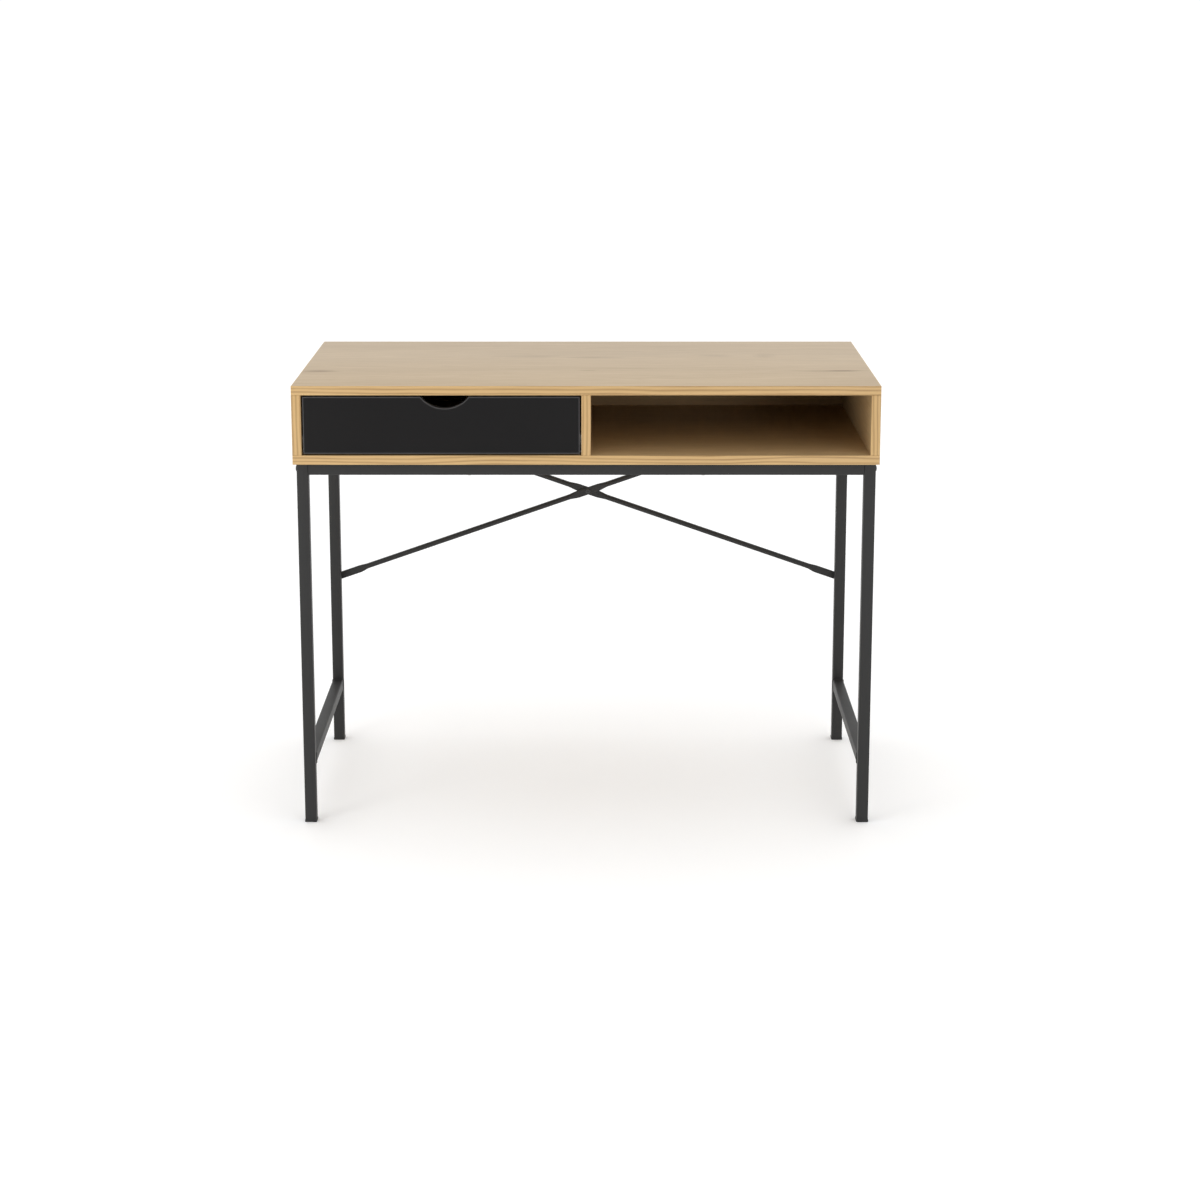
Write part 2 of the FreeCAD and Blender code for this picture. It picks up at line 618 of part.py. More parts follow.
def drawer_box(runner_screws):
    """Drawer front, sides, back and bottom sheet."""
    bolts, cams, dowels, screws = drawer_fasteners()
    low_screws = bottom_screws()
    for fastener in (bolts, cams, dowels, screws, low_screws):
        keep(fastener)

    groove_x = f"{DRAWER_SIDE_X} + sizes.drawer_board - sizes.groove_depth"
    sheet_width = f"2 * ({DRAWER_MIDDLE} - ({groove_x}))"
    sheet_length = "sizes.drawer_length + sizes.groove_depth"
    corner = (groove_x, f"{FRONT_BACK} - sizes.groove_depth", DRAWER_BOTTOM)
    sheet = box("sheet_blank", corner, (sheet_width, sheet_length, "sizes.drawer_bottom_thick"))
    keep(drilled("drawer_bottom", sheet, [low_screws]))
    keep(drawer_front([bolts, dowels, sheet]))

    side_size = ("sizes.drawer_board", "sizes.drawer_length", "sizes.drawer_side_height")
    side = box("drawer_side_blank", (DRAWER_SIDE_X, FRONT_BACK, DRAWER_BASE), side_size)
    left = keep(drilled("drawer_left_side", side, [bolts, cams, dowels, screws, sheet, runner_screws]))
    keep(mirrored("drawer_right_side", left, DRAWER_MIDDLE))

    back_x = f"{DRAWER_SIDE_X} + sizes.drawer_board"
    back_base = f"{DRAWER_BOTTOM} + sizes.drawer_bottom_thick"
    back_corner = (back_x, f"{DRAWER_END} - sizes.drawer_board", back_base)
    back_height = f"{DRAWER_BASE} + sizes.drawer_side_height - ({back_base})"
    back_size = (f"2 * ({DRAWER_MIDDLE} - ({back_x}))", "sizes.drawer_board", back_height)
    back = box("drawer_back_blank", back_corner, back_size)
    keep(drilled("drawer_back", back, [screws, low_screws]))


# ---- Runners --------------------------------------------------------------------------------

CABINET_FACE = f"(-{SIDE_FACE})"
WEB_INNER = f"({CABINET_FACE} + sizes.runner_steel)"
CARRIER_FACE = f"({DRAWER_SIDE_X} - sizes.runner_steel)"
# Heights of the screws below the channel's upper edge, and details of the pressed steel.
CABINET_SCREW_DROP = 6.5
CARRIER_SCREW_DROP = 6
ROLLER_OPENING = 26
STOP_THICK = 2.5
STOP_HEIGHT = 16
CARRIER_LIFT = 4
CARRIER_FLANGE = 8.8
CARRIER_LIP = 10
# Roller pins: how far the front pin stands out and the size of a riveted head.
FRONT_PIN_LENGTH = 8.9
PIN_HEAD = (4, 0.8)


def runner_screw_sets():
    """Screws of the cabinet runners and of the drawer runners."""
    cabinet = []
    carrier = []
    cabinet_head, cabinet_shank = CABINET_SCREW
    for step in RUNNER_SCREW_ROWS:
        y = f"{RUNNER_START} + {step}"
        face = (WEB_INNER, y, f"{RUNNER_TOP} - {CABINET_SCREW_DROP}")
        head = rod(f"cabinet_screw_head_{step}", face, "X", *cabinet_head)
        tip = (f"{WEB_INNER} - {cabinet_shank[1]}", *face[1:])
        shank = rod(f"cabinet_screw_shank_{step}", tip, "X", *cabinet_shank)
        cabinet.append(fuse(f"cabinet_screw_{step}", [head, shank]))
        face = (CARRIER_FACE, y, f"{RUNNER_TOP} - {CARRIER_SCREW_DROP}")
        carrier.append(headed(f"carrier_screw_{step}", face, "X", *CARRIER_SCREW))
    return (
        both_sides("cabinet_runner_screws", group("left_cabinet_screws", cabinet), DRAWER_MIDDLE),
        both_sides("drawer_runner_screws", group("left_carrier_screws", carrier), DRAWER_MIDDLE),
    )


def cabinet_runner(tools):
    """Channel on the cabinet side, open above its front roller, with a stop for the rear one."""
    length = "sizes.drawer_length"
    steel = "sizes.runner_steel"
    flange = f"sizes.runner_width - {steel}"
    stop_y = f"{REAR_ROLLER_Y} - sizes.drawer_travel - sizes.rear_roller_radius - 2"
    web = box("web", (CABINET_FACE, RUNNER_START, RUNNER_BASE), (steel, length, "sizes.runner_height"))
    lower = box("lower_flange", (WEB_INNER, RUNNER_START, RUNNER_BASE), (flange, length, steel))
    upper_corner = (WEB_INNER, f"{RUNNER_START} + {ROLLER_OPENING}", f"{RUNNER_TOP} - {steel}")
    upper = box("upper_flange", upper_corner, (flange, f"{length} - {ROLLER_OPENING}", steel))
    stop_size = (f"sizes.runner_width - 2 * {steel}", STOP_THICK, STOP_HEIGHT)
    stop = box("stop", (WEB_INNER, stop_y, f"{RUNNER_TOP} - {STOP_HEIGHT}"), stop_size)
    channel = fuse("left_channel_blank", [web, lower, upper, stop])
    return drilled("left_cabinet_runner", channel, tools)


def drawer_runner(tools):
    """Strip on the drawer side with a carrying flange above and a lip under the side."""
    length = "sizes.drawer_length"
    steel = "sizes.runner_steel"
    web_base = f"{RUNNER_BASE} + {CARRIER_LIFT}"
    web_size = (steel, length, f"{FLANGE_LEVEL} + {steel} - ({web_base})")
    web = box("carrier_web", (CARRIER_FACE, RUNNER_START, web_base), web_size)
    flange_corner = (f"{CARRIER_FACE} - {CARRIER_FLANGE}", RUNNER_START, FLANGE_LEVEL)
    flange = box("carrier_flange", flange_corner, (CARRIER_FLANGE, length, steel))
    lip_corner = (DRAWER_SIDE_X, RUNNER_START, f"{DRAWER_BASE} - {steel}")
    lip = box("carrier_lip", lip_corner, (CARRIER_LIP, f"{length} - 2", steel))
    carrier = fuse("left_carrier_blank", [web, flange, lip])
    return drilled("left_drawer_runner", carrier, tools)


def roller_pins():
    """Riveted pins of the front rollers, in the channels, and of the rear ones, in the strips."""
    front_start = (CABINET_FACE, FRONT_ROLLER_Y, FRONT_ROLLER_Z)
    front_end = (f"{CABINET_FACE} + {FRONT_PIN_LENGTH}", *front_start[1:])
    front_shank = rod("front_pin_shank", front_start, "X", "sizes.pin_radius", FRONT_PIN_LENGTH)
    front_head = rod("front_pin_head", front_end, "X", *PIN_HEAD)
    rear_start = (f"{WEB_INNER} + 0.2", REAR_ROLLER_Y, REAR_ROLLER_Z)
    rear_head = rod("rear_pin_head", rear_start, "X", *PIN_HEAD)
    rear_shank_start = (f"{WEB_INNER} + 1", *rear_start[1:])
    rear_length = f"{DRAWER_SIDE_X} - ({WEB_INNER}) - 1"
    rear_shank = rod("rear_pin_shank", rear_shank_start, "X", "sizes.pin_radius", rear_length)
    front = fuse("left_front_pin", [front_shank, front_head])
    rear = fuse("left_rear_pin", [rear_shank, rear_head])
    return (
        both_sides("cabinet_roller_pins", front, DRAWER_MIDDLE),
        both_sides("drawer_roller_pins", rear, DRAWER_MIDDLE),
    )


def roller(label, centre, radius):
    """Plastic roller with a bore that clears its pin."""
    blank = rod(f"{label}_blank", centre, "X", radius, "sizes.roller_width")
    bore = rod(f"{label}_bore", centre, "X", "sizes.roller_bore", "sizes.roller_width")
    return drilled(label, blank, [bore])


def runners(cabinet_screws, carrier_screws):
    """Both pairs of runners with their rollers and pins."""
    front_pins, rear_pins = roller_pins()
    keep(front_pins)
    keep(rear_pins)
    front_centre = (f"{WEB_INNER} + 0.4", FRONT_ROLLER_Y, FRONT_ROLLER_Z)
    rear_centre = (f"{WEB_INNER} + 1.2", REAR_ROLLER_Y, REAR_ROLLER_Z)
    left_pieces = (
        (cabinet_runner([cabinet_screws, front_pins]), "right_cabinet_runner"),
        (drawer_runner([carrier_screws, rear_pins]), "right_drawer_runner"),
        (roller("left_front_roller", front_centre, "sizes.front_roller_radius"), "right_front_roller"),
        (roller("left_rear_roller", rear_centre, "sizes.rear_roller_radius"), "right_rear_roller"),
    )
    for left, right_label in left_pieces:
        keep(left)
        keep(mirrored(right_label, left, DRAWER_MIDDLE))


# ---- Assembly and export --------------------------------------------------------------------


def check():
    """Stop on any object that failed or any sub-part without a valid shape."""
    for item in doc.Objects:
        if "Invalid" in item.State or "Error" in item.State:
            raise RuntimeError(f"{item.Label} failed: {item.State}")
    for item in nodes:
        if item.Shape.isNull() or not item.Shape.isValid() or not item.Shape.Solids:
            raise RuntimeError(f"{item.Label} has no valid solid")


def export():
    """One STEP file a sub-part."""
    os.makedirs("parts", exist_ok=True)
    for item in nodes:
        item.Shape.exportStep(f"parts/{item.Label}.step")
        print(f"{item.Label}: {len(item.Shape.Solids)} solid(s), {item.Shape.Volume:.0f} mm3")


def main():
    make_sheet()
    frame_screws = keep(make_frame_screws())
    cabinet_screws, carrier_screws = (keep(item) for item in runner_screw_sets())
    brace_bolts, rivet_nuts = (keep(item) for item in brace_fasteners())
    board_box(frame_screws, cabinet_screws)
    steel_frame(frame_screws, brace_bolts, rivet_nuts)
    crossed_brace(brace_bolts)
    drawer_box(carrier_screws)
    runners(cabinet_screws, carrier_screws)
    doc.recompute()
    check()
    export()


main()
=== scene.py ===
"""Looks of a writing desk: an oak-laminate box with a black drawer on a charcoal steel frame."""

import json
import math

import bpy
from bpy.props import FloatProperty, FloatVectorProperty, IntProperty, PointerProperty
from mathutils import Matrix, Vector


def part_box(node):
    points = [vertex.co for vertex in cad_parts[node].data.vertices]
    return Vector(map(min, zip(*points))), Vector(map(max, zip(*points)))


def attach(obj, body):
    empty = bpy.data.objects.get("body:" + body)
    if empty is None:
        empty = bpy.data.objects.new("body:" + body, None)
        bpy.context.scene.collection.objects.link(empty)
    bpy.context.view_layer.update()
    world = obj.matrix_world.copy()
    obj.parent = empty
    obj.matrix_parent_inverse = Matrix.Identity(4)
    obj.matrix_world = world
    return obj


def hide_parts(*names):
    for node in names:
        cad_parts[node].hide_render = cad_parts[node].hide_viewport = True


bl_info = {
    "name": "Writing Desk",
    "version": (1, 0, 0),
    "blender": (4, 5, 0),
    "location": "3D View > Sidebar > Desk",
    "description": "Builds the visible pieces of a writing desk around its packed frame",
    "category": "Add Mesh",
}

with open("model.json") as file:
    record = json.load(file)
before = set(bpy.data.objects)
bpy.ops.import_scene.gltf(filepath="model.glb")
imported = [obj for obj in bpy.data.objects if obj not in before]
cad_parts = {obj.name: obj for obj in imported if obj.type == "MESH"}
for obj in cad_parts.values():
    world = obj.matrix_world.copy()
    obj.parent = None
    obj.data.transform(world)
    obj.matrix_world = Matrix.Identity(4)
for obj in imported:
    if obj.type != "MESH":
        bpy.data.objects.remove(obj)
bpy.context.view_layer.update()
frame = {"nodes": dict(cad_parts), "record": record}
MM = 0.001


# ---- Properties ------------------------------------------


def length(name, description, default):
    """A length property in metres."""
    return FloatProperty(
        name=name, description=description, default=default, min=0, unit="LENGTH", precision=5
    )


def colour(name, description, default):
    """A colour property in linear values."""
    return FloatVectorProperty(
        name=name, description=description, default=default, subtype="COLOR", size=3, min=0, max=1
    )


class DeskSizes(bpy.types.PropertyGroup):
    """Sizes that only the looks need; everything else comes from the frame."""

    band: length("Edge band", "Thickness of the edge bands on the boards", 1.0 * MM)
    board_edge: length("Board edge", "Rounding of the boards' long edges", 0.5 * MM)
    band_edge: length("Band edge", "Rounding of the edge bands' outer corners", 0.7 * MM)
    front_band: length("Front band", "Thickness of the drawer front's edge band", 1.6 * MM)
    front_edge: length("Front edge", "Rounding of the drawer front's edge band", 0.7 * MM)
    weld: length("Weld bead", "Radius of the weld beads between the tubes", 1.3 * MM)
    cap_edge: length("Cap edge", "Rounding of the foot caps' flanges", 0.8 * MM)
    cap_corner: length("Cap corner", "Corner radius of the foot caps", 2.6 * MM)
    plug_inset: length("Plug inset", "Gap between a leg's outside and its cap's plug", 1.5 * MM)
    plug_edge: length("Plug edge", "Rounding of the foot caps' plugs", 0.6 * MM)
    tube_corner: length("Tube corner", "Corner radius of the square tubes", 2.0 * MM)
    notch_radius: length("Notch radius", "Radius of the drawer front's finger notch", 52 * MM)
    notch_depth: length("Notch depth", "Depth of the finger notch", 20 * MM)
    notch_offset: length("Notch offset", "How far the notch is right of the drawer's middle", 6 * MM)
    rod: length("Rod", "Radius of the brace rods", 5 * MM)
    rod_width: length("Pressed width", "Half the width of a rod's pressed flats", 7 * MM)
    rod_thick: length("Pressed thickness", "Half the thickness of a rod's pressed flats", 1.5 * MM)
    rod_sink: length("Rod sink", "How far the rods reach forward of the frame's rear faces", 0.5 * MM)
    eye_flat: length("Eye flat", "Flat length of a brace rod beyond an eye's centre", 47 * MM)
    eye_pinch: length("Eye pinch", "Length over which a rod turns flat towards an eye", 18 * MM)
    cross_flat: length("Crossing flat", "Flat length of a brace rod beside the crossing", 18 * MM)
    cross_pinch: length("Crossing pinch", "Length over which a rod turns flat at the crossing", 22 * MM)
    facets: IntProperty(name="Facets", description="Sides of the round hardware", default=40, min=12)


class DeskFinishes(bpy.types.PropertyGroup):
    """Base colours of the finishes."""

    # The worktop's tones are paler and greyer than the other boards' oak: partly the print's tone, partly a
    # painted sheen of the bright surroundings seen at a grazing angle.
    top_light_with_sheen: colour("Top light", "Palest tone of the worktop", (0.56, 0.43, 0.275))
    top_dark_with_sheen: colour("Top dark", "Darkest tone of the worktop's figure", (0.26, 0.18, 0.10))
    oak_light: colour("Oak light", "Palest tone of the other boards", (0.52, 0.36, 0.185))
    oak_dark: colour("Oak dark", "Darkest tone of the other boards' figure", (0.27, 0.165, 0.07))
    band_light: colour("Band light", "Palest tone of the edge bands", (0.645, 0.424, 0.184))
    band_dark: colour("Band dark", "Darkest line of the edge bands", (0.345, 0.200, 0.072))
    black_board: colour("Black board", "Drawer front laminate", (0.0066, 0.0060, 0.0062))
    # Lighter than the black board: this base colour is a painted highlight along the drawer front's rounded
    # edges.
    black_edge: colour("Black edge", "Edge band of the drawer front", (0.040, 0.038, 0.038))
    powder_coat: colour("Powder coat", "Charcoal coat of the steel frame", (0.0190, 0.0188, 0.0184))
    black_bolt: colour("Black bolt", "Blackened bolts", (0.022, 0.022, 0.022))
    zinc: colour("Zinc", "Zinc plated screws", (0.60, 0.60, 0.58))
    cam_metal: colour("Cam metal", "Die-cast cams", (0.74, 0.73, 0.70))
    enamel: colour("Runner enamel", "White enamel of the runners", (0.78, 0.78, 0.75))
    nylon: colour("Nylon", "Rollers", (0.72, 0.70, 0.62))
    cap: colour("Foot plastic", "Black foot caps", (0.012, 0.012, 0.012))
    beech: colour("Beech", "Dowels", (0.62, 0.42, 0.22))
    fibre: colour("Fibre board", "Drawer bottom", (0.42, 0.30, 0.17))


# ---- Node helpers ----------------------------------------


class Nodes:
    """A short way to add and link shader nodes in one material."""

    def __init__(self, material):
        self.tree = material.node_tree
        self.out = self.tree.nodes["Material Output"]
        self.shader = self.tree.nodes["Principled BSDF"]

    def add(self, kind, **settings):
        node = self.tree.nodes.new(kind)
        for key, value in settings.items():
            if hasattr(node, key):
                setattr(node, key, value)
            else:
                node.inputs[key.replace("_", " ")].default_value = value
        return node

    def link(self, source, target):
        self.tree.links.new(source, target)

    def place(self, scale=(1, 1, 1), shift=(0, 0, 0)):
        """Object coordinates, stretched and shifted."""
        coords = self.add("ShaderNodeTexCoord")
        mapping = self.add("ShaderNodeMapping", Scale=scale, Location=shift)
        self.link(coords.outputs["Object"], mapping.inputs["Vector"])
        return mapping.outputs["Vector"]

    def along(self, grain, lengthwise, crosswise, shift=(0, 0, 0)):
        """Object coordinates with one scale along the grain's axis and another across it."""
        scale = [crosswise] * 3
        scale["XYZ".index(grain)] = lengthwise
        return self.place(scale, shift)

    def across(self, grain, shift):
        """Distance across the grain: the sum of the two other coordinates."""
        node = self.add("ShaderNodeVectorMath", operation="DOT_PRODUCT")
        self.link(self.place(shift=shift), node.inputs[0])
        node.inputs[1].default_value = [0 if axis == grain else 1 for axis in "XYZ"]
        return node.outputs["Value"]

    def noise(self, vector, scale, detail=2.0, rough=0.5, distortion=0.0):
        node = self.add(
            "ShaderNodeTexNoise", Scale=scale, Detail=detail, Roughness=rough, Distortion=distortion
        )
        self.link(vector, node.inputs["Vector"])
        return node.outputs["Fac"]

    def ramp(self, value, stops):
        """Colour ramp of (position, value or colour) stops."""
        node = self.add("ShaderNodeValToRGB")
        ramp = node.color_ramp
        while len(ramp.elements) < len(stops):
            ramp.elements.new(0.5)
        for element, (position, tone) in zip(ramp.elements, stops):
            element.position = position
            element.color = (tone, tone, tone, 1) if isinstance(tone, (int, float)) else (*tone, 1)
        self.link(value, node.inputs["Fac"])
        return node.outputs["Color"]

    def math(self, operation, first, second=0.0):
        node = self.add("ShaderNodeMath", operation=operation)
        for socket, value in zip(node.inputs, (first, second)):
            if isinstance(value, (int, float)):
                socket.default_value = value
            else:
                self.link(value, socket)
        return node.outputs[0]

    def mix(self, factor, first, second, blend="MIX"):
        node = self.add("ShaderNodeMix", data_type="RGBA", blend_type=blend)
        sockets = (node.inputs[0], node.inputs[6], node.inputs[7])
        for socket, value in zip(sockets, (factor, first, second)):
            if isinstance(value, (int, float)):
                socket.default_value = value
            elif isinstance(value, (tuple, list)):
                socket.default_value = (*value, 1)
            else:
                self.link(value, socket)
        return node.outputs[2]

    def vary_roughness(self, value, low, high):
        """Roughness that follows a texture between two values."""
        node = self.add("ShaderNodeMapRange")
        node.inputs["To Min"].default_value = low
        node.inputs["To Max"].default_value = high
        self.link(value, node.inputs["Value"])
        self.link(node.outputs["Result"], self.shader.inputs["Roughness"])

    def bump(self, height, strength, distance):
        node = self.add("ShaderNodeBump", Strength=strength, Distance=distance)
        self.link(height, node.inputs["Height"])
        self.link(node.outputs["Normal"], self.shader.inputs["Normal"])


def finish(name, base, roughness, metallic=0.0, specular=0.5):
    """A new Principled material with its constants set on the shader's own sockets."""
    material = bpy.data.materials.new(name)
    material.use_nodes = True
    nodes = Nodes(material)
    nodes.shader.inputs["Base Color"].default_value = (*base, 1)
    nodes.shader.inputs["Roughness"].default_value = roughness
    nodes.shader.inputs["Metallic"].default_value = metallic
    nodes.shader.inputs["Specular IOR Level"].default_value = specular
    return material, nodes


# ---- Finishes --------------------------------------------

# Marks of the printed oak on the top: centre, half length and half width, strength.
TOP_MARKS = (
    ((0.432, -0.093), (0.070, 0.011), 0.50),
    ((0.452, -0.090), (0.032, 0.010), 0.65),
    ((-0.470, -0.095), (0.036, 0.012), 0.75),
    ((0.002, -0.088), (0.018, 0.005), 0.40),
    ((-0.105, 0.070), (0.060, 0.016), 0.18),
    ((0.013, 0.058), (0.065, 0.011), 0.28),
    ((0.235, 0.078), (0.036, 0.020), 0.22),
    ((0.322, 0.078), (0.026, 0.026), 0.24),
    ((0.080, 0.120), (0.360, 0.100), 0.10),
    ((-0.340, -0.190), (0.160, 0.050), 0.08),
)


# Printed oak: scale along and across the grain of each layer, and its share in the tone.
OAK_SCALES = {"drift": (1.1, 7), "warp": (1.4, 9), "fibres": (9, 420), "pores": (26, 900)}
OAK_SHARES = {"drift": 0.26, "rings": 0.045, "fibres": 0.24, "pores": 0.18}
RING_WARP = 0.17
RING_RATE = 520.0
BAND_SCALES = {"warp": (3.0, 25), "fibres": (12, 700), "patches": (8, 60)}
BAND_SHARES = {"lines": 0.55, "fibres": 0.30}
BAND_WARP = 0.020
BAND_RATE = 900.0


def mark(nodes, centre, half_length, half_width):
    """Soft lens-shaped mask on the top, ragged along the grain."""
    shift = (-centre[0] / half_length, -centre[1] / half_width, 0)
    coords = nodes.place((1 / half_length, 1 / half_width, 0), shift)
    ragged = nodes.noise(nodes.place((14, 60, 1)), 1.0, 3.0, 0.6)
    lens = nodes.add("ShaderNodeVectorMath", operation="LENGTH")
    nodes.link(coords, lens.inputs[0])
    reach = nodes.math("ADD", lens.outputs["Value"], nodes.math("MULTIPLY", ragged, 1.1))
    return nodes.ramp(nodes.math("MULTIPLY", reach, 0.5), ((0.30, 1.0), (0.82, 0.0)))


def oak(name, light, dark, grain="X", shift=(0, 0, 0), marks=()):
    """Oak-print laminate: slow tone bands, warped growth lines, pores and a few dark marks."""
    light, dark = tuple(light), tuple(dark)
    material, nodes = finish(name, light, 0.44)
    drift = nodes.noise(nodes.along(grain, *OAK_SCALES["drift"], shift), 1.0, 3.0, 0.6, 0.4)
    warp = nodes.noise(nodes.along(grain, *OAK_SCALES["warp"], shift), 1.0, 3.0, 0.55)
    warped = nodes.math("ADD", nodes.across(grain, shift), nodes.math("MULTIPLY", warp, RING_WARP))
    rings = nodes.math("SINE", nodes.math("MULTIPLY", warped, RING_RATE))
    fibres = nodes.noise(nodes.along(grain, *OAK_SCALES["fibres"], shift), 1.0, 4.0, 0.65)
    pores = nodes.noise(nodes.along(grain, *OAK_SCALES["pores"], shift), 1.0, 2.0, 0.5)
    pore_mask = nodes.ramp(pores, ((0.30, 1.0), (0.42, 0.0)))

    drift_tone = nodes.ramp(drift, ((0.30, 0.0), (0.72, 1.0)))
    shade = nodes.math("MULTIPLY", drift_tone, OAK_SHARES["drift"])
    ring_tone = nodes.math("ADD", rings, 1.0)
    shade = nodes.math("ADD", shade, nodes.math("MULTIPLY", ring_tone, OAK_SHARES["rings"]))
    fibre_tone = nodes.ramp(fibres, ((0.35, 0.0), (0.75, 1.0)))
    shade = nodes.math("ADD", shade, nodes.math("MULTIPLY", fibre_tone, OAK_SHARES["fibres"]))
    for centre, (half_length, half_width), strength in marks:
        mask = mark(nodes, centre, half_length, half_width)
        shade = nodes.math("ADD", shade, nodes.math("MULTIPLY", mask, strength))
    shade = nodes.math("ADD", shade, nodes.math("MULTIPLY", pore_mask, OAK_SHARES["pores"]))
    nodes.link(nodes.mix(shade, light, dark), nodes.shader.inputs["Base Color"])
    nodes.vary_roughness(fibres, 0.40, 0.54)
    relief = nodes.math("SUBTRACT", nodes.math("MULTIPLY", fibres, 0.6), pore_mask)
    nodes.bump(relief, 0.25, 0.00006)
    return material


def oak_band(name, grain="X", shift=(0, 0, 0)):
    """Edge band: long, gently waving grain lines at the scale of a 16 mm edge."""
    tones = bpy.context.scene.desk_finishes
    light, dark = tuple(tones.band_light), tuple(tones.band_dark)
    material, nodes = finish(name, light, 0.42)
    warp = nodes.noise(nodes.along(grain, *BAND_SCALES["warp"], shift), 1.0, 2.0, 0.5)
    warped = nodes.math("ADD", nodes.across(grain, shift), nodes.math("MULTIPLY", warp, BAND_WARP))
    lines = nodes.math("ADD", nodes.math("SINE", nodes.math("MULTIPLY", warped, BAND_RATE)), 1.0)
    line_tone = nodes.ramp(nodes.math("MULTIPLY", lines, 0.5), ((0.40, 0.0), (0.90, 1.0)))
    fibres = nodes.noise(nodes.along(grain, *BAND_SCALES["fibres"], shift), 1.0, 3.0, 0.6)
    patches = nodes.noise(nodes.along(grain, *BAND_SCALES["patches"], shift), 1.0, 2.0, 0.5)
    line_shade = nodes.math("MULTIPLY", line_tone, BAND_SHARES["lines"])
    fibre_shade = nodes.math("MULTIPLY", fibres, BAND_SHARES["fibres"])
    shade = nodes.math("ADD", line_shade, fibre_shade)
    shade = nodes.math("MULTIPLY", shade, nodes.math("ADD", patches, 0.5))
    nodes.link(nodes.mix(shade, light, dark), nodes.shader.inputs["Base Color"])
    nodes.vary_roughness(fibres, 0.38, 0.50)
    nodes.bump(fibres, 0.2, 0.00005)
    return material


def powder_coat(name, tone, grit=1.0):
    """Fine orange-peel powder coat with a slightly uneven sheen."""
    material, nodes = finish(name, tone, 0.5, specular=0.35)
    grain = nodes.noise(nodes.place(), 1500.0, 3.0, 0.6)
    cloud = nodes.noise(nodes.place(), 9.0, 3.0, 0.5)
    lighter = tuple(min(1.0, value * 1.35) for value in tone)
    speckle = nodes.ramp(grain, ((0.35, 0.0), (0.75, 1.0)))
    nodes.link(nodes.mix(speckle, tuple(tone), lighter), nodes.shader.inputs["Base Color"])
    nodes.vary_roughness(cloud, 0.42, 0.60)
    nodes.bump(grain, 0.35 * grit, 0.0001)
    return material


def moulded(name, tone, roughness=0.5, scale=900.0, strength=0.2, specular=0.5):
    """Plain board or plastic surface with a fine grain in tone, gloss and relief."""
    material, nodes = finish(name, tone, roughness, specular=specular)
    grain = nodes.noise(nodes.place(), scale, 3.0, 0.55)
    cloud = nodes.noise(nodes.place(), 6.0, 3.0, 0.5)
    lighter = tuple(min(1.0, value * 1.16 + 0.0015) for value in tone)
    nodes.link(nodes.mix(cloud, tuple(tone), lighter), nodes.shader.inputs["Base Color"])
    nodes.vary_roughness(grain, roughness - 0.05, roughness + 0.07)
    nodes.bump(grain, strength, 0.00006)
    return material


def metal(name, tone, roughness=0.36, metallic=1.0):
    """Plated or cast metal with faint mottling and fine scratches."""
    material, nodes = finish(name, tone, roughness, metallic)
    mottle = nodes.noise(nodes.place(), 260.0, 4.0, 0.6)
    darker = tuple(value * 0.72 for value in tone)
    nodes.link(nodes.mix(mottle, tuple(tone), darker), nodes.shader.inputs["Base Color"])
    nodes.vary_roughness(mottle, roughness - 0.08, roughness + 0.16)
    nodes.bump(mottle, 0.15, 0.00005)
    return material


def shared(name, maker, *values, **settings):
    """One material a name, made the first time it is asked for."""
    return bpy.data.materials.get(name) or maker(name, *values, **settings)


def dress(obj, material):
    """Give the object this one material."""
    obj.data.materials.clear()
    obj.data.materials.append(material)


# ---- Modelling helpers -----------------------------------


def deselect():
    """Leave nothing selected and object mode on."""
    active = bpy.context.view_layer.objects.active
    if active is not None and active.mode != "OBJECT":
        bpy.ops.object.mode_set(mode="OBJECT")
    bpy.ops.object.select_all(action="DESELECT")


def choose(*objects):
    """Select only these objects; the first is active."""
    deselect()
    for obj in objects:
        obj.select_set(True)
    bpy.context.view_layer.objects.active = objects[0]


def settle(obj):
    """Move the object's place into its mesh."""
    choose(obj)
    bpy.ops.object.transform_apply(location=True, rotation=True, scale=True)


def block(name, low, high):
    """Box between two corners."""
    deselect()
    low, high = Vector(low), Vector(high)
    bpy.ops.mesh.primitive_cube_add(size=1, location=(low + high) / 2, scale=high - low)
    obj = bpy.context.object
    obj.name = name
    settle(obj)
    return obj


def drum(name, radius, depth, facets=None):
    """Upright round or many-sided bar from z = 0 up."""
    deselect()
    facets = facets or bpy.context.scene.desk_sizes.facets
    bpy.ops.mesh.primitive_cylinder_add(
        vertices=facets, radius=radius, depth=depth, location=(0, 0, depth / 2)
    )
    obj = bpy.context.object
    obj.name = name
    settle(obj)
    return obj


def modify(obj, kind, **settings):
    """Add a modifier, set it and apply it."""
    choose(obj)
    bpy.ops.object.modifier_add(type=kind)
    modifier = obj.modifiers[-1]
    for key, value in settings.items():
        setattr(modifier, key, value)
    bpy.ops.object.modifier_apply(modifier=modifier.name)


def soften(obj, radius, segments=3, angle=40):
    """Round every edge that is sharper than the angle, and shade the rounding smoothly."""
    modify(
        obj, "BEVEL", width=radius, segments=segments, limit_method="ANGLE",
        angle_limit=math.radians(angle), harden_normals=False,
    )
    smooth(obj)


def smooth(obj, angle=35):
    """Smooth shading that keeps real corners."""
    choose(obj)
    bpy.ops.object.shade_smooth_by_angle(angle=math.radians(angle))


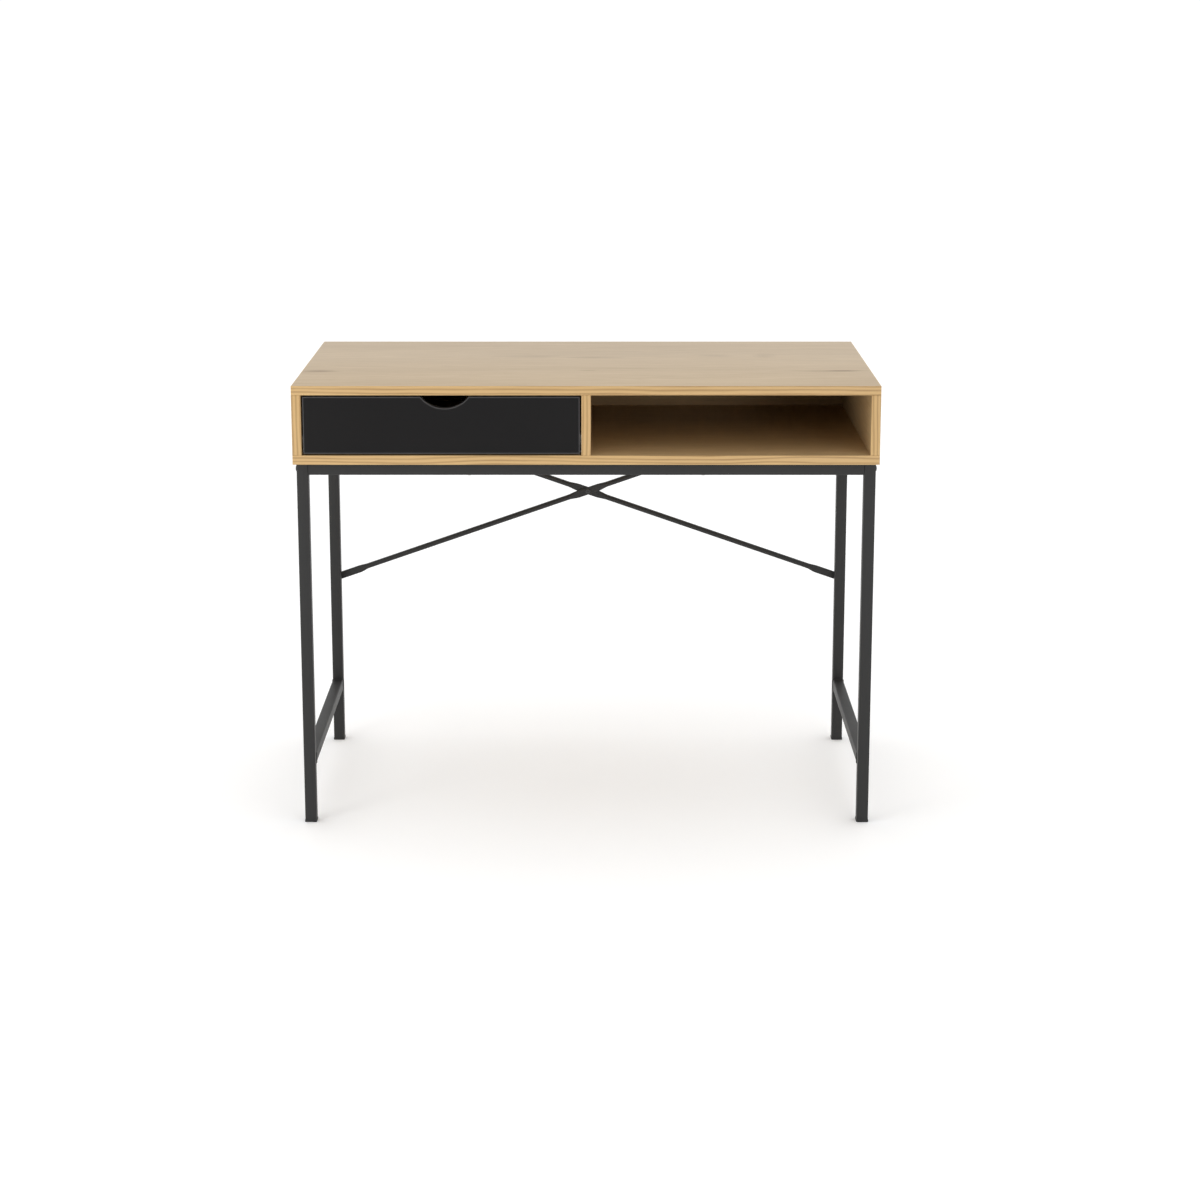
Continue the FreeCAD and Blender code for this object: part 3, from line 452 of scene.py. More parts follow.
def bevel_edges(obj, radius, segments, wanted):
    """Bevel in edit mode the edges whose two ends satisfy a test."""
    choose(obj)
    bpy.ops.object.mode_set(mode="EDIT")
    bpy.ops.mesh.select_mode(type="EDGE")
    bpy.ops.mesh.select_all(action="DESELECT")
    bpy.ops.object.mode_set(mode="OBJECT")
    points = [vertex.co.copy() for vertex in obj.data.vertices]
    for edge in obj.data.edges:
        edge.select = wanted(points[edge.vertices[0]], points[edge.vertices[1]])
    bpy.ops.object.mode_set(mode="EDIT")
    bpy.ops.mesh.bevel(offset=radius, segments=segments)
    bpy.ops.object.mode_set(mode="OBJECT")


def carve(obj, *cutters):
    """Take the cutters out of the object and delete them."""
    for cutter in cutters:
        modify(obj, "BOOLEAN", operation="DIFFERENCE", object=cutter, solver="EXACT")
        bpy.data.objects.remove(cutter)


def join(name, pieces):
    """Several objects as one."""
    choose(*pieces)
    bpy.ops.object.join()
    joined = bpy.context.object
    joined.name = name
    return joined


def copy_to(template, name, start, along):
    """A copy with its own mesh whose local +Z points along a direction from a start point."""
    copy = bpy.data.objects.new(name, template.data.copy())
    bpy.context.scene.collection.objects.link(copy)
    turn = Vector(along).to_track_quat("Z", "Y").to_matrix().to_4x4()
    copy.matrix_world = Matrix.Translation(Vector(start)) @ turn
    settle(copy)
    return copy


def crowd(template, name, spots):
    """Copies of a template at (start, direction) spots, joined as one piece."""
    copies = [
        copy_to(template, f"{name}_{index}", start, along) for index, (start, along) in enumerate(spots)
    ]
    bpy.data.objects.remove(template)
    return join(name, copies)


def finished(obj, material, body, slot, *nodes):
    """Dress a piece, let it ride on its body and stand for its nodes."""
    obj.data.name = obj.name
    dress(obj, material)
    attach(obj, body)
    if nodes:
        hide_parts(*nodes)
    return obj


def expect(name):
    """The operator's piece, or an error that stops the script."""
    if name not in bpy.data.objects:
        raise RuntimeError(f"{name} was not made")


# ---- Board box -------------------------------------------


# How far the grain moves on from one band of a board to the next.
BAND_STEP = (0.31, 0.013)

# A core's edges lie against its bands, so they take only this share of the boards' rounding.
CORE_ROUNDING = 0.4


def shrunk(low, high, bands, thickness):
    """The corners of a board's core inside its edge bands, named by side such as -x or +y."""
    low, high = Vector(low), Vector(high)
    for side in bands:
        axis = "xyz".index(side[1])
        if side[0] == "-":
            low[axis] += thickness
        else:
            high[axis] -= thickness
    return low, high


def band_corners(low, high, side, thickness, taken):
    """The corners of one edge band, shortened where an earlier band covers its end."""
    inner_low, inner_high = shrunk(low, high, taken, thickness)
    low, high = Vector(inner_low), Vector(inner_high)
    axis = "xyz".index(side[1])
    if side[0] == "-":
        high[axis] = low[axis] + thickness
    else:
        low[axis] = high[axis] - thickness
    return low, high


def long_axis(low, high):
    """The axis letter along which a box is longest."""
    size = high - low
    return "XYZ"[max(range(3), key=lambda index: size[index])]


def board(name, node, bands, grain, marks=(), shift=(0, 0, 0)):
    """A board core that stands for its node, with an edge band on each named side."""
    sizes = bpy.context.scene.desk_sizes
    tones = bpy.context.scene.desk_finishes
    # The worktop's tones carry a painted sheen besides the oak print.
    light, dark = (tones.top_light_with_sheen, tones.top_dark_with_sheen) if marks else (tones.oak_light, tones.oak_dark)
    low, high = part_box(node)
    core = block(name, *shrunk(low, high, bands, sizes.band))
    soften(core, sizes.board_edge * CORE_ROUNDING, 2)
    finished(core, oak(f"oak_{name}", light, dark, grain, shift, marks), "desk", "oak_board", node)
    done = []
    for side in bands:
        band_low, band_high = band_corners(low, high, side, sizes.band, done)
        end, corner = ("low", band_low) if side[0] == "-" else ("high", band_high)
        label = f"{name}_band_{end}_{side[1]}"
        strip = block(label, band_low, band_high)
        normal = "xyz".index(side[1])
        bevel_edges(
            strip, sizes.band_edge, 3,
            lambda a, b, n=normal, face=corner[normal]: max(abs(a[n] - face), abs(b[n] - face)) < 1e-6,
        )
        smooth(strip)
        axis = long_axis(band_low, band_high)
        step_along, step_across = BAND_STEP
        strip_shift = (shift[0] + step_along * len(done), shift[1] + step_across * len(done), shift[2])
        finished(strip, oak_band(f"oak_{label}", axis, strip_shift), "desk", "oak_board")
        done.append(side)
    return core


class DESK_OT_board_box(bpy.types.Operator):
    """Top, bottom, sides, divider and back with their edge bands"""

    bl_idname = "desk.board_box"
    bl_label = "Board Box"

    def execute(self, context):
        around = ("-y", "+y", "-x", "+x")
        board("top_board", "top_panel", around, "X", marks=TOP_MARKS)
        board("bottom_board", "bottom_panel", around, "X", shift=(0.7, 0.2, 0.05))
        board("left_side_board", "left_side_panel", ("-y", "+y"), "Y", shift=(0.2, 1.3, 0))
        board("right_side_board", "right_side_panel", ("-y", "+y"), "Y", shift=(0.9, 2.1, 0))
        board("divider_board", "divider_panel", ("-y",), "Y", shift=(0.4, 3.1, 0))
        board("back_board", "back_panel", (), "X", shift=(2.3, 0.6, 0.3))
        expect("back_board")
        return {"FINISHED"}


class DESK_OT_cam_locks(bpy.types.Operator):
    """Round cams with a cross slot, let into the inner faces of the uprights"""

    bl_idname = "desk.cam_locks"
    bl_label = "Cam Locks"

    def execute(self, context):
        low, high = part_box("cam_locks")
        radius = (high.z - low.z) / 2
        level = (high.z + low.z) / 2
        divider_low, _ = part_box("divider_panel")
        _, left_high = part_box("left_side_panel")
        right_low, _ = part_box("right_side_panel")
        spots = []
        for y in (low.y + radius, high.y - radius):
            spots.append(((left_high.x, y, level), (1, 0, 0)))
            spots.append(((divider_low.x, y, level), (-1, 0, 0)))
            spots.append(((right_low.x, y, level), (-1, 0, 0)))
        cams = crowd(cam_template(radius), "cam_lock_faces", spots)
        tone = context.scene.desk_finishes.cam_metal
        finished(cams, shared("cast_zinc", metal, tone, 0.46, 0.45), "desk", "cam_metal", "cam_locks")
        return {"FINISHED"}


# Cams: depth, depth of the dished face, half width and depth of the cross slot, edge rounding,
# and the reach of dish and slot as shares of the radius.
CAM_DEPTH = 11 * MM
CAM_DISH = 0.6 * MM
CAM_SLOT = (1.0 * MM, 3.5 * MM)
CAM_EDGE = 0.25 * MM
CAM_DISH_REACH = 0.80
CAM_SLOT_REACH = 0.58


def cam_template(radius):
    """Cam with its face at z = 0, a raised rim and a cross slot."""
    body = drum("cam_template", radius, CAM_DEPTH)
    body.data.transform(Matrix.Translation((0, 0, -CAM_DEPTH)))
    dish = drum("cam_dish", radius * CAM_DISH_REACH, 2 * MM)
    dish.data.transform(Matrix.Translation((0, 0, -CAM_DISH)))
    arm = radius * CAM_SLOT_REACH
    half, depth = CAM_SLOT
    slots = [
        block("cam_slot_a", (-arm, -half, -depth), (arm, half, 1 * MM)),
        block("cam_slot_b", (-half, -arm, -depth), (half, arm, 1 * MM)),
    ]
    carve(body, dish, *slots)
    soften(body, CAM_EDGE, 2)
    return body


# ---- Steel frame -----------------------------------------

TUBES = (
    "front_left_leg", "front_right_leg", "rear_left_leg", "rear_right_leg", "left_side_rail",
    "right_side_rail", "left_stretcher", "right_stretcher", "front_rail", "rear_rail",
)


def tube(name, node):
    """Square tube with rounded long edges, closed at its ends."""
    low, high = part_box(node)
    axis = "XYZ".index(long_axis(low, high))
    obj = block(name, low, high)
    corner = bpy.context.scene.desk_sizes.tube_corner
    bevel_edges(obj, corner, 5, lambda a, b: abs(a[axis] - b[axis]) > 0.1)
    smooth(obj)
    return obj


def weld_loop(name, centre, normal, side):
    """Bead around the end of a square tube, on a plane across one axis."""
    sizes = bpy.context.scene.desk_sizes
    deselect()
    turn = Vector(normal).to_track_quat("Z", "Y").to_euler()
    bpy.ops.mesh.primitive_plane_add(size=side, location=centre, rotation=turn)
    obj = bpy.context.object
    obj.name = name
    bpy.ops.object.mode_set(mode="EDIT")
    bpy.ops.mesh.select_all(action="SELECT")
    bpy.ops.mesh.bevel(offset=sizes.tube_corner, segments=4, affect="VERTICES")
    bpy.ops.mesh.select_all(action="SELECT")
    bpy.ops.mesh.delete(type="ONLY_FACE")
    bpy.ops.object.mode_set(mode="OBJECT")
    bpy.ops.object.convert(target="CURVE")
    curve = bpy.context.object
    curve.data.bevel_depth = sizes.weld
    curve.data.bevel_resolution = 2
    bpy.ops.object.convert(target="MESH")
    bead = bpy.context.object
    settle(bead)
    return bead


class DESK_OT_steel_frame(bpy.types.Operator):
    """Tubes of the frame, with the weld beads of the side frames"""

    bl_idname = "desk.steel_frame"
    bl_label = "Steel Frame"

    def execute(self, context):
        coat = shared("charcoal_coat", powder_coat, tuple(context.scene.desk_finishes.powder_coat))
        for node in TUBES:
            finished(tube(f"{node}_tube", node), coat, "desk", "powder_coat", node)
        for node in ("left_side_rail", "right_side_rail", "left_stretcher", "right_stretcher"):
            low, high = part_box(node)
            middle = (low + high) / 2
            beads = []
            for end, y in (("front", low.y), ("rear", high.y)):
                centre = (middle.x, y, middle.z)
                beads.append(weld_loop(f"{node}_weld_{end}", centre, (0, 1, 0), high.x - low.x))
            bead = join(f"{node}_welds", beads)
            smooth(bead, 60)
            finished(bead, coat, "desk", "powder_coat")
        expect("left_stretcher_welds")
        return {"FINISHED"}


class DESK_OT_foot_caps(bpy.types.Operator):
    """Moulded caps with a rounded flange under each leg"""

    bl_idname = "desk.foot_caps"
    bl_label = "Foot Caps"

    def execute(self, context):
        sizes = context.scene.desk_sizes
        plastic = shared("cap_plastic", moulded, tuple(context.scene.desk_finishes.cap), roughness=0.55)
        for corner in ("front_left", "front_right", "rear_left", "rear_right"):
            node = f"{corner}_foot_cap"
            low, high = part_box(node)
            leg_low, leg_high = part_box(f"{corner}_leg")
            flange = block(f"{corner}_cap", low, (high.x, high.y, leg_low.z))
            bevel_edges(flange, sizes.cap_corner, 5, lambda a, b: abs(a.z - b.z) > 1 * MM)
            soften(flange, sizes.cap_edge, 3, 50)
            inset = Vector((sizes.plug_inset, sizes.plug_inset, 0))
            plug = block("plug", leg_low + inset, Vector((leg_high.x, leg_high.y, high.z)) - inset)
            soften(plug, sizes.plug_edge, 2)
            finished(join(f"{corner}_cap", [flange, plug]), plastic, "desk", "foot_plastic", node)
        expect("rear_right_cap")
        return {"FINISHED"}


# ---- Fasteners -------------------------------------------


# Shanks and heads that the frame's boxes don't give: radius, then length or height.
RAIL_BOLT_SHANK = (3 * MM, 36 * MM)
FRAME_SCREW_HEAD = (4 * MM, 2 * MM)
FRAME_SCREW_SHANK = 2 * MM
FRAME_SCREW_Y = 0.12
FRAME_SCREW_X = 0.2
BRACE_HEAD = (4.75 * MM, 2.8 * MM)
BRACE_SHANK = (2.5 * MM, 13 * MM)
CENTRE_HEAD = 2.5 * MM
NUT_RADIUS = 4.6 * MM
NUT_EDGE = 0.35 * MM

# Heads: the crown as a share of height and of radius, the drive's depth as a share of height, and
# the hexagon's radius and the cross's arm and width as shares of the head's radius.
CROWN_HEIGHT, CROWN_RADIUS = 0.85, 0.5
DRIVE_DEPTH = 0.7
HEX_RADIUS = 0.44
CROSS_ARM, CROSS_WIDTH = 0.52, 0.24


def hex_cutter(radius, depth):
    """Hexagon socket cutter that reaches down from just above z = 0."""
    cutter = drum("hex_cutter", radius, depth + 1 * MM, 6)
    cutter.data.transform(Matrix.Translation((0, 0, -depth)))
    return cutter


def cross_cutters(arm, width, depth):
    """Two crossed slots that reach down from just above z = 0."""
    return [
        block("cross_a", (-arm, -width / 2, -depth), (arm, width / 2, 1 * MM)),
        block("cross_b", (-width / 2, -arm, -depth), (width / 2, arm, 1 * MM)),
    ]


def fastener(name, head_radius, head_height, shank_radius, shank_length, drive):
    """Domed head whose crown is at z = 0, pointing up, over a shank that runs down."""
    head = drum(name, head_radius, head_height)
    head.data.transform(Matrix.Translation((0, 0, -head_height)))
    crown = min(head_height * CROWN_HEIGHT, head_radius * CROWN_RADIUS)
    bevel_edges(head, crown, 5, lambda a, b: a.z > -1e-6 and b.z > -1e-6)
    depth = head_height * DRIVE_DEPTH
    if drive == "hex":
        carve(head, hex_cutter(head_radius * HEX_RADIUS, depth))
    else:
        carve(head, *cross_cutters(head_radius * CROSS_ARM, head_radius * CROSS_WIDTH, depth))
    smooth(head)
    shank = drum("shank", shank_radius, shank_length, 20)
    shank.data.transform(Matrix.Translation((0, 0, -head_height - shank_length)))
    smooth(shank)
    return join(name, [head, shank])


class DESK_OT_frame_bolts(bpy.types.Operator):
    """Button head bolts in the leg tops and pan head screws under the rails"""

    bl_idname = "desk.frame_bolts"
    bl_label = "Frame Bolts"

    def execute(self, context):
        tones = context.scene.desk_finishes
        low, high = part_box("rail_bolts")
        radius = (high.z - low.z) / 2
        level = (high.z + low.z) / 2
        leg_low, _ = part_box("front_left_leg")
        head = leg_low.x - low.x
        spots = []
        for y in (low.y + radius, high.y - radius):
            spots.append(((low.x, y, level), (-1, 0, 0)))
            spots.append(((high.x, y, level), (1, 0, 0)))
        bolt = fastener("rail_bolt_template", radius, head, *RAIL_BOLT_SHANK, "hex")
        bolts = crowd(bolt, "rail_bolt_heads", spots)
        black = shared("black_bolt", powder_coat, tuple(tones.black_bolt), 0.5)
        finished(bolts, black, "desk", "black_bolt", "rail_bolts")

        low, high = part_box("frame_screws")
        side_x = (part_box("right_side_rail")[0].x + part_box("right_side_rail")[1].x) / 2
        rail_y = (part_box("rear_rail")[0].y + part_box("rear_rail")[1].y) / 2
        down = (0, 0, -1)
        rows_y = (-FRAME_SCREW_Y, FRAME_SCREW_Y)
        rows_x = (-FRAME_SCREW_X, FRAME_SCREW_X)
        spots = [((sign * side_x, y, low.z), down) for sign in (-1, 1) for y in rows_y]
        spots += [((x, sign * rail_y, low.z), down) for sign in (-1, 1) for x in rows_x]
        shank = (FRAME_SCREW_SHANK, high.z - low.z - FRAME_SCREW_HEAD[1])
        screw = fastener("frame_screw_template", *FRAME_SCREW_HEAD, *shank, "cross")
        screws = crowd(screw, "rail_screws", spots)
        finished(screws, shared("zinc_plate", metal, tuple(tones.zinc)), "desk", "zinc_screw", "frame_screws")
        return {"FINISHED"}


# ---- Crossed brace ---------------------------------------


# The rods' flats lie one behind the other at the crossing, this far behind the frame.
CROSSING_LAYERS = (("rising", 2.0 * MM), ("falling", 5.0 * MM))

# Rings along each run-out, how much squarer than round a flat's section is, and how far the bar
# reaches past an eye's centre as a share of the flat's half width.
PINCH_STEPS = 12
SQUARING = 0.62
END_REACH = 0.98


def blend_step(value, start, end):
    """0 before start, 1 after end and a smooth step between."""
    share = min(1.0, max(0.0, (value - start) / (end - start)))
    return share * share * (3 - 2 * share)


def press_rod(obj, stations):
    """Shape a straight round rod along local X: flat at the stations, round between them."""
    sizes = bpy.context.scene.desk_sizes
    rod_radius, half_width, half_thick = sizes.rod, sizes.rod_width, sizes.rod_thick
    lift = rod_radius - sizes.rod_sink
    first, last = stations[0][0], stations[-1][0]
    for vertex in obj.data.vertices:
        along = vertex.co.x
        share, shift = 0.0, 0.0
        for centre, reach, run_out, layer in stations:
            local = 1 - blend_step(abs(along - centre), reach, reach + run_out)
            if local > share:
                share, shift = local, layer
        angle = math.atan2(vertex.co.z, vertex.co.y)
        power = 1 - SQUARING * share
        wide = rod_radius + (half_width - rod_radius) * share
        thick = rod_radius + (half_thick - rod_radius) * share
        past = max(first - along, along - last, 0.0)
        if past > 0:
            wide = math.sqrt(max(half_width**2 - past**2, 1e-8))
        across, up = math.cos(angle), math.sin(angle)
        vertex.co.y = lift * (1 - share) + shift * share + thick * math.copysign(abs(across) ** power, across)
        vertex.co.z = wide * math.copysign(abs(up) ** power, up)


def brace_rod(name, low_eye, high_eye, crossing_layer, face_y):
    """A rod from its lower eye to its upper eye, pressed flat at both and at the crossing."""
    sizes = bpy.context.scene.desk_sizes
    run = Vector(high_eye) - Vector(low_eye)
    share = -low_eye[0] / (high_eye[0] - low_eye[0])
    crossing = run.length * share
    half_width = sizes.rod_width
    low, high = -half_width * END_REACH, run.length + half_width * END_REACH
    deselect()
    bpy.ops.mesh.primitive_cylinder_add(
        vertices=24, radius=sizes.rod, depth=high - low,
        location=((low + high) / 2, 0, 0), rotation=(0, math.pi / 2, 0),
    )
    obj = bpy.context.object
    obj.name = name
    settle(obj)
    bpy.ops.object.mode_set(mode="EDIT")
    stations = (
        (0.0, sizes.eye_flat, sizes.eye_pinch, sizes.rod_thick),
        (crossing, sizes.cross_flat, sizes.cross_pinch, crossing_layer),
        (run.length, sizes.eye_flat, sizes.eye_pinch, sizes.rod_thick),
    )
    cuts = []
    for centre, reach, run_out, _ in stations:
        for sign in (-1, 1):
            for step in range(PINCH_STEPS + 1):
                cuts.append(centre + sign * (reach + run_out * step / PINCH_STEPS))
    for sign, end in ((-1, 0.0), (1, run.length)):
        cuts += [end + sign * half_width * math.sin(math.radians(turn)) for turn in range(0, 80, 10)]
    for cut in sorted(cuts):
        if low < cut < high:
            bpy.ops.mesh.select_all(action="SELECT")
            bpy.ops.mesh.bisect(plane_co=(cut, 0, 0), plane_no=(1, 0, 0))
    bpy.ops.object.mode_set(mode="OBJECT")
    press_rod(obj, stations)
    angle = math.atan2(run.z, run.x)
    turn = Matrix.Rotation(-angle, 4, "Y")
    obj.data.transform(Matrix.Translation((low_eye[0], face_y, low_eye[2])) @ turn)
    recalculate(obj)
    smooth(obj, 50)
    return obj


def recalculate(obj):
    """Point every face outwards."""
    choose(obj)
    bpy.ops.object.mode_set(mode="EDIT")
    bpy.ops.mesh.select_all(action="SELECT")
    bpy.ops.mesh.normals_make_consistent(inside=False)
    bpy.ops.object.mode_set(mode="OBJECT")


class DESK_OT_brace(bpy.types.Operator):
    """Crossed rods with their bolts and the nut at the crossing"""

    bl_idname = "desk.brace"
    bl_label = "Crossed Brace"

    def execute(self, context):
        tones = context.scene.desk_finishes
        coat = shared("charcoal_coat", powder_coat, tuple(tones.powder_coat))
        bolt_low, bolt_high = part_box("brace_bolts")
        leg_low, leg_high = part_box("rear_left_leg")
        rail_low, rail_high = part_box("rear_rail")
        face_y = rail_high.y
        leg_x = (leg_low.x + leg_high.x) / 2
        top_z = (rail_low.z + rail_high.z) / 2
        low_z = bolt_low.z + BRACE_HEAD[0]
        _, rod_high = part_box("brace_rising_rod")
        top_x = rod_high.x - context.scene.desk_sizes.rod_width
        eyes = {"rising": ((leg_x, face_y, low_z), (top_x, face_y, top_z))}
        eyes["falling"] = tuple((-x, y, z) for x, y, z in eyes["rising"])
        for name, layer in CROSSING_LAYERS:
            rod = brace_rod(f"{name}_rod", *eyes[name], layer, face_y)
            finished(rod, coat, "desk", "brace_coat", f"brace_{name}_rod")

        black = shared("black_bolt", powder_coat, tuple(tones.black_bolt), 0.5)
        spots = [((x, bolt_high.y, z), (0, 1, 0)) for pair in eyes.values() for x, _, z in pair]
        bolt = fastener("brace_bolt_template", *BRACE_HEAD, *BRACE_SHANK, "hex")
        bolts = crowd(bolt, "brace_bolt_heads", spots)
        finished(bolts, black, "desk", "black_bolt", "brace_bolts")

        low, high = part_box("brace_centre_bolt")
        crossing = (0, low.y, (low.z + high.z) / 2)
        shank = (BRACE_SHANK[0], high.y - low.y - CENTRE_HEAD)
        bolt = fastener("centre_template", BRACE_HEAD[0], CENTRE_HEAD, *shank, "hex")
        centre = crowd(bolt, "crossing_bolt", [(crossing, (0, -1, 0))])
        finished(centre, black, "desk", "black_bolt", "brace_centre_bolt")

        low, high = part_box("brace_centre_nut")
        nut = drum("crossing_nut", NUT_RADIUS, high.y - low.y, 6)
        bore = drum("nut_bore", BRACE_SHANK[0], 10 * MM, 24)
        bore.data.transform(Matrix.Translation((0, 0, -3 * MM)))
        carve(nut, bore)
        soften(nut, NUT_EDGE, 2)
        nut = crowd(nut, "crossing_nut", [((0, low.y, crossing[2]), (0, 1, 0))])
        finished(nut, black, "desk", "black_bolt", "brace_centre_nut")
        expect("crossing_nut")
        return {"FINISHED"}


# ---- Drawer ----------------------------------------------


def notched_front(name, low, high, inset):
    """Drawer front with its finger notch, drawn in by an inset on its outline."""
    sizes = bpy.context.scene.desk_sizes
    inward = Vector((inset, 0, inset))
    front = block(name, low + inward, high - inward)
    spare = 20 * MM
    notch = drum("notch", sizes.notch_radius + inset, high.y - low.y + 2 * spare, 160)
    turn = Matrix.Rotation(math.pi / 2, 4, "X")
    centre_x = (low.x + high.x) / 2 + sizes.notch_offset
    centre_z = high.z - sizes.notch_depth + sizes.notch_radius
    notch.data.transform(Matrix.Translation((centre_x, high.y + spare, centre_z)) @ turn)
    carve(front, notch)
    return front


class DESK_OT_drawer(bpy.types.Operator):
    """Black front with its finger notch, and the box behind it"""

    bl_idname = "desk.drawer"
    bl_label = "Drawer"

    def execute(self, context):
        sizes = context.scene.desk_sizes
        tones = context.scene.desk_finishes
        low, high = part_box("drawer_front")
        black = shared("black_laminate", moulded, tuple(tones.black_board), 0.42, 1300.0, specular=0.15)
        face = notched_front("drawer_face", low, high, sizes.front_band)
        finished(face, black, "drawer", "black_board", "drawer_front")
        band = notched_front("drawer_face_band", low, high, 0)
        through = Vector((0, 10 * MM, 0))
        carve(band, notched_front("band_hole", low - through, high + through, sizes.front_band))
        soften(band, sizes.front_edge, 3, 30)
        # The band's lighter base colour is a painted highlight along the front's rounded edges.
        edge = shared("black_edge", moulded, tuple(tones.black_edge), 0.30, 900.0, specular=0.5)
        finished(band, edge, "drawer", "black_board")

        panels = (("drawer_left_side", "Y", -0.3), ("drawer_right_side", "Y", 0.4), ("drawer_back", "X", 0.9))
        for node, grain, shift in panels:
            panel = block(f"{node}_board", *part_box(node))
            soften(panel, sizes.board_edge, 2)
            shell = oak(f"{node}_oak", tones.oak_light, tones.oak_dark, grain, (shift, shift, shift))
            finished(panel, shell, "drawer", "drawer_board", node)
        expect("drawer_back_board")
        return {"FINISHED"}


# ---- Pieces kept from the frame --------------------------


class DESK_OT_kept_pieces(bpy.types.Operator):
    """Finishes of the hardware that keeps its own shape"""

    bl_idname = "desk.kept_pieces"
    bl_label = "Kept Pieces"

    def execute(self, context):
        tones = context.scene.desk_finishes
        zinc = shared("zinc_plate", metal, tuple(tones.zinc))
        cast = shared("cast_zinc", metal, tuple(tones.cam_metal), 0.46, 0.45)
        by_slot = {
            "zinc_screw": zinc,
            "insert_metal": zinc,
            "pin_steel": zinc,
            "cam_metal": cast,
            "runner_enamel": shared("runner_enamel", powder_coat, tuple(tones.enamel), 0.6),
            "roller_plastic": shared("nylon", moulded, tuple(tones.nylon), roughness=0.4),
            "dowel_wood": shared("beech", moulded, tuple(tones.beech), roughness=0.6),
            "fibre_sheet": shared("fibre_sheet", moulded, tuple(tones.fibre), roughness=0.6, strength=0.4),
        }
        for part in frame["record"]["subparts"]:
            node = frame["nodes"][part["node"]]
            material = by_slot.get(part["material_slot"])
            if material is not None and not node.hide_render:
                dress(node, material)
        return {"FINISHED"}


# ---- Stage -----------------------------------------------


# Camera: place in metres, turn in degrees, lens and sensor in millimetres, upward shift.
CAMERA_PLACE = (0.0254, -4.2135, 1.4614)
CAMERA_TURN = (78.706, 0, 0.026)
CAMERA_LENS = 71.3
CAMERA_SENSOR = 36
CAMERA_SHIFT = -0.125

# Soft lamps: name, place, aim, size in metres and power in watts.
LAMPS = (
    ("left_light", (-2.3, -2.1, 0.76), (0, 0, 0.6), (0.9, 0.9), 16),
    ("right_light", (1.7, -3.3, 0.86), (0, 0, 0.6), (1.2, 0.8), 12),
)

# Strength of the surroundings in front and behind, how fast they gain towards overhead, and the
# strength of the white that the camera sees.
FRONT_SKY = 0.31
REAR_SKY = 0.85
OVERHEAD_POWER = 2.0
BACKDROP = 1.05

FLOOR_SIZE = 60
FLOOR_TONES = ((0.975, 0.975, 0.975), (0.985, 0.985, 0.985))
FLOOR_GLOW = 0.05


def area_light(name, place, aim, size, power):
    """Soft rectangular lamp aimed at a point."""
    deselect()
    turn = (Vector(aim) - Vector(place)).to_track_quat("-Z", "Y").to_euler()
    bpy.ops.object.light_add(type="AREA", location=place, rotation=turn)
    lamp = bpy.context.object
    lamp.name = name
    lamp.data.shape = "RECTANGLE"
    lamp.data.size, lamp.data.size_y = size
    lamp.data.energy = power


def studio_world():
    """White studio: light mostly from overhead and behind, a plain white background."""
    world = bpy.data.worlds.new("studio")
    world.use_nodes = True
    tree = world.node_tree

    def node(kind, **values):
        made = tree.nodes.new(kind)
        for key, value in values.items():
            if key == "operation":
                setattr(made, key, value)
            else:
                made.inputs[key.replace("_", " ")].default_value = value
        return made

    coords = node("ShaderNodeTexCoord")
    split = node("ShaderNodeSeparateXYZ")
    tree.links.new(coords.outputs["Generated"], split.inputs[0])
    depth = node("ShaderNodeMapRange", From_Min=-1, From_Max=1, To_Min=FRONT_SKY, To_Max=REAR_SKY)
    tree.links.new(split.outputs["Y"], depth.inputs["Value"])
    height = node("ShaderNodeMapRange")
    tree.links.new(split.outputs["Z"], height.inputs["Value"])
    overhead = node("ShaderNodeMath", operation="POWER")
    tree.links.new(height.outputs["Result"], overhead.inputs[0])
    overhead.inputs[1].default_value = OVERHEAD_POWER
    total = node("ShaderNodeMath", operation="ADD")
    tree.links.new(depth.outputs["Result"], total.inputs[0])
    tree.links.new(overhead.outputs[0], total.inputs[1])
    seen = node("ShaderNodeLightPath")
    pick = node("ShaderNodeMix")
    tree.links.new(seen.outputs["Is Camera Ray"], pick.inputs[0])
    tree.links.new(total.outputs[0], pick.inputs[2])
    pick.inputs[3].default_value = BACKDROP
    background = tree.nodes["Background"]
    background.inputs["Color"].default_value = (1, 1, 1, 1)
    tree.links.new(pick.outputs[0], background.inputs["Strength"])
    return world


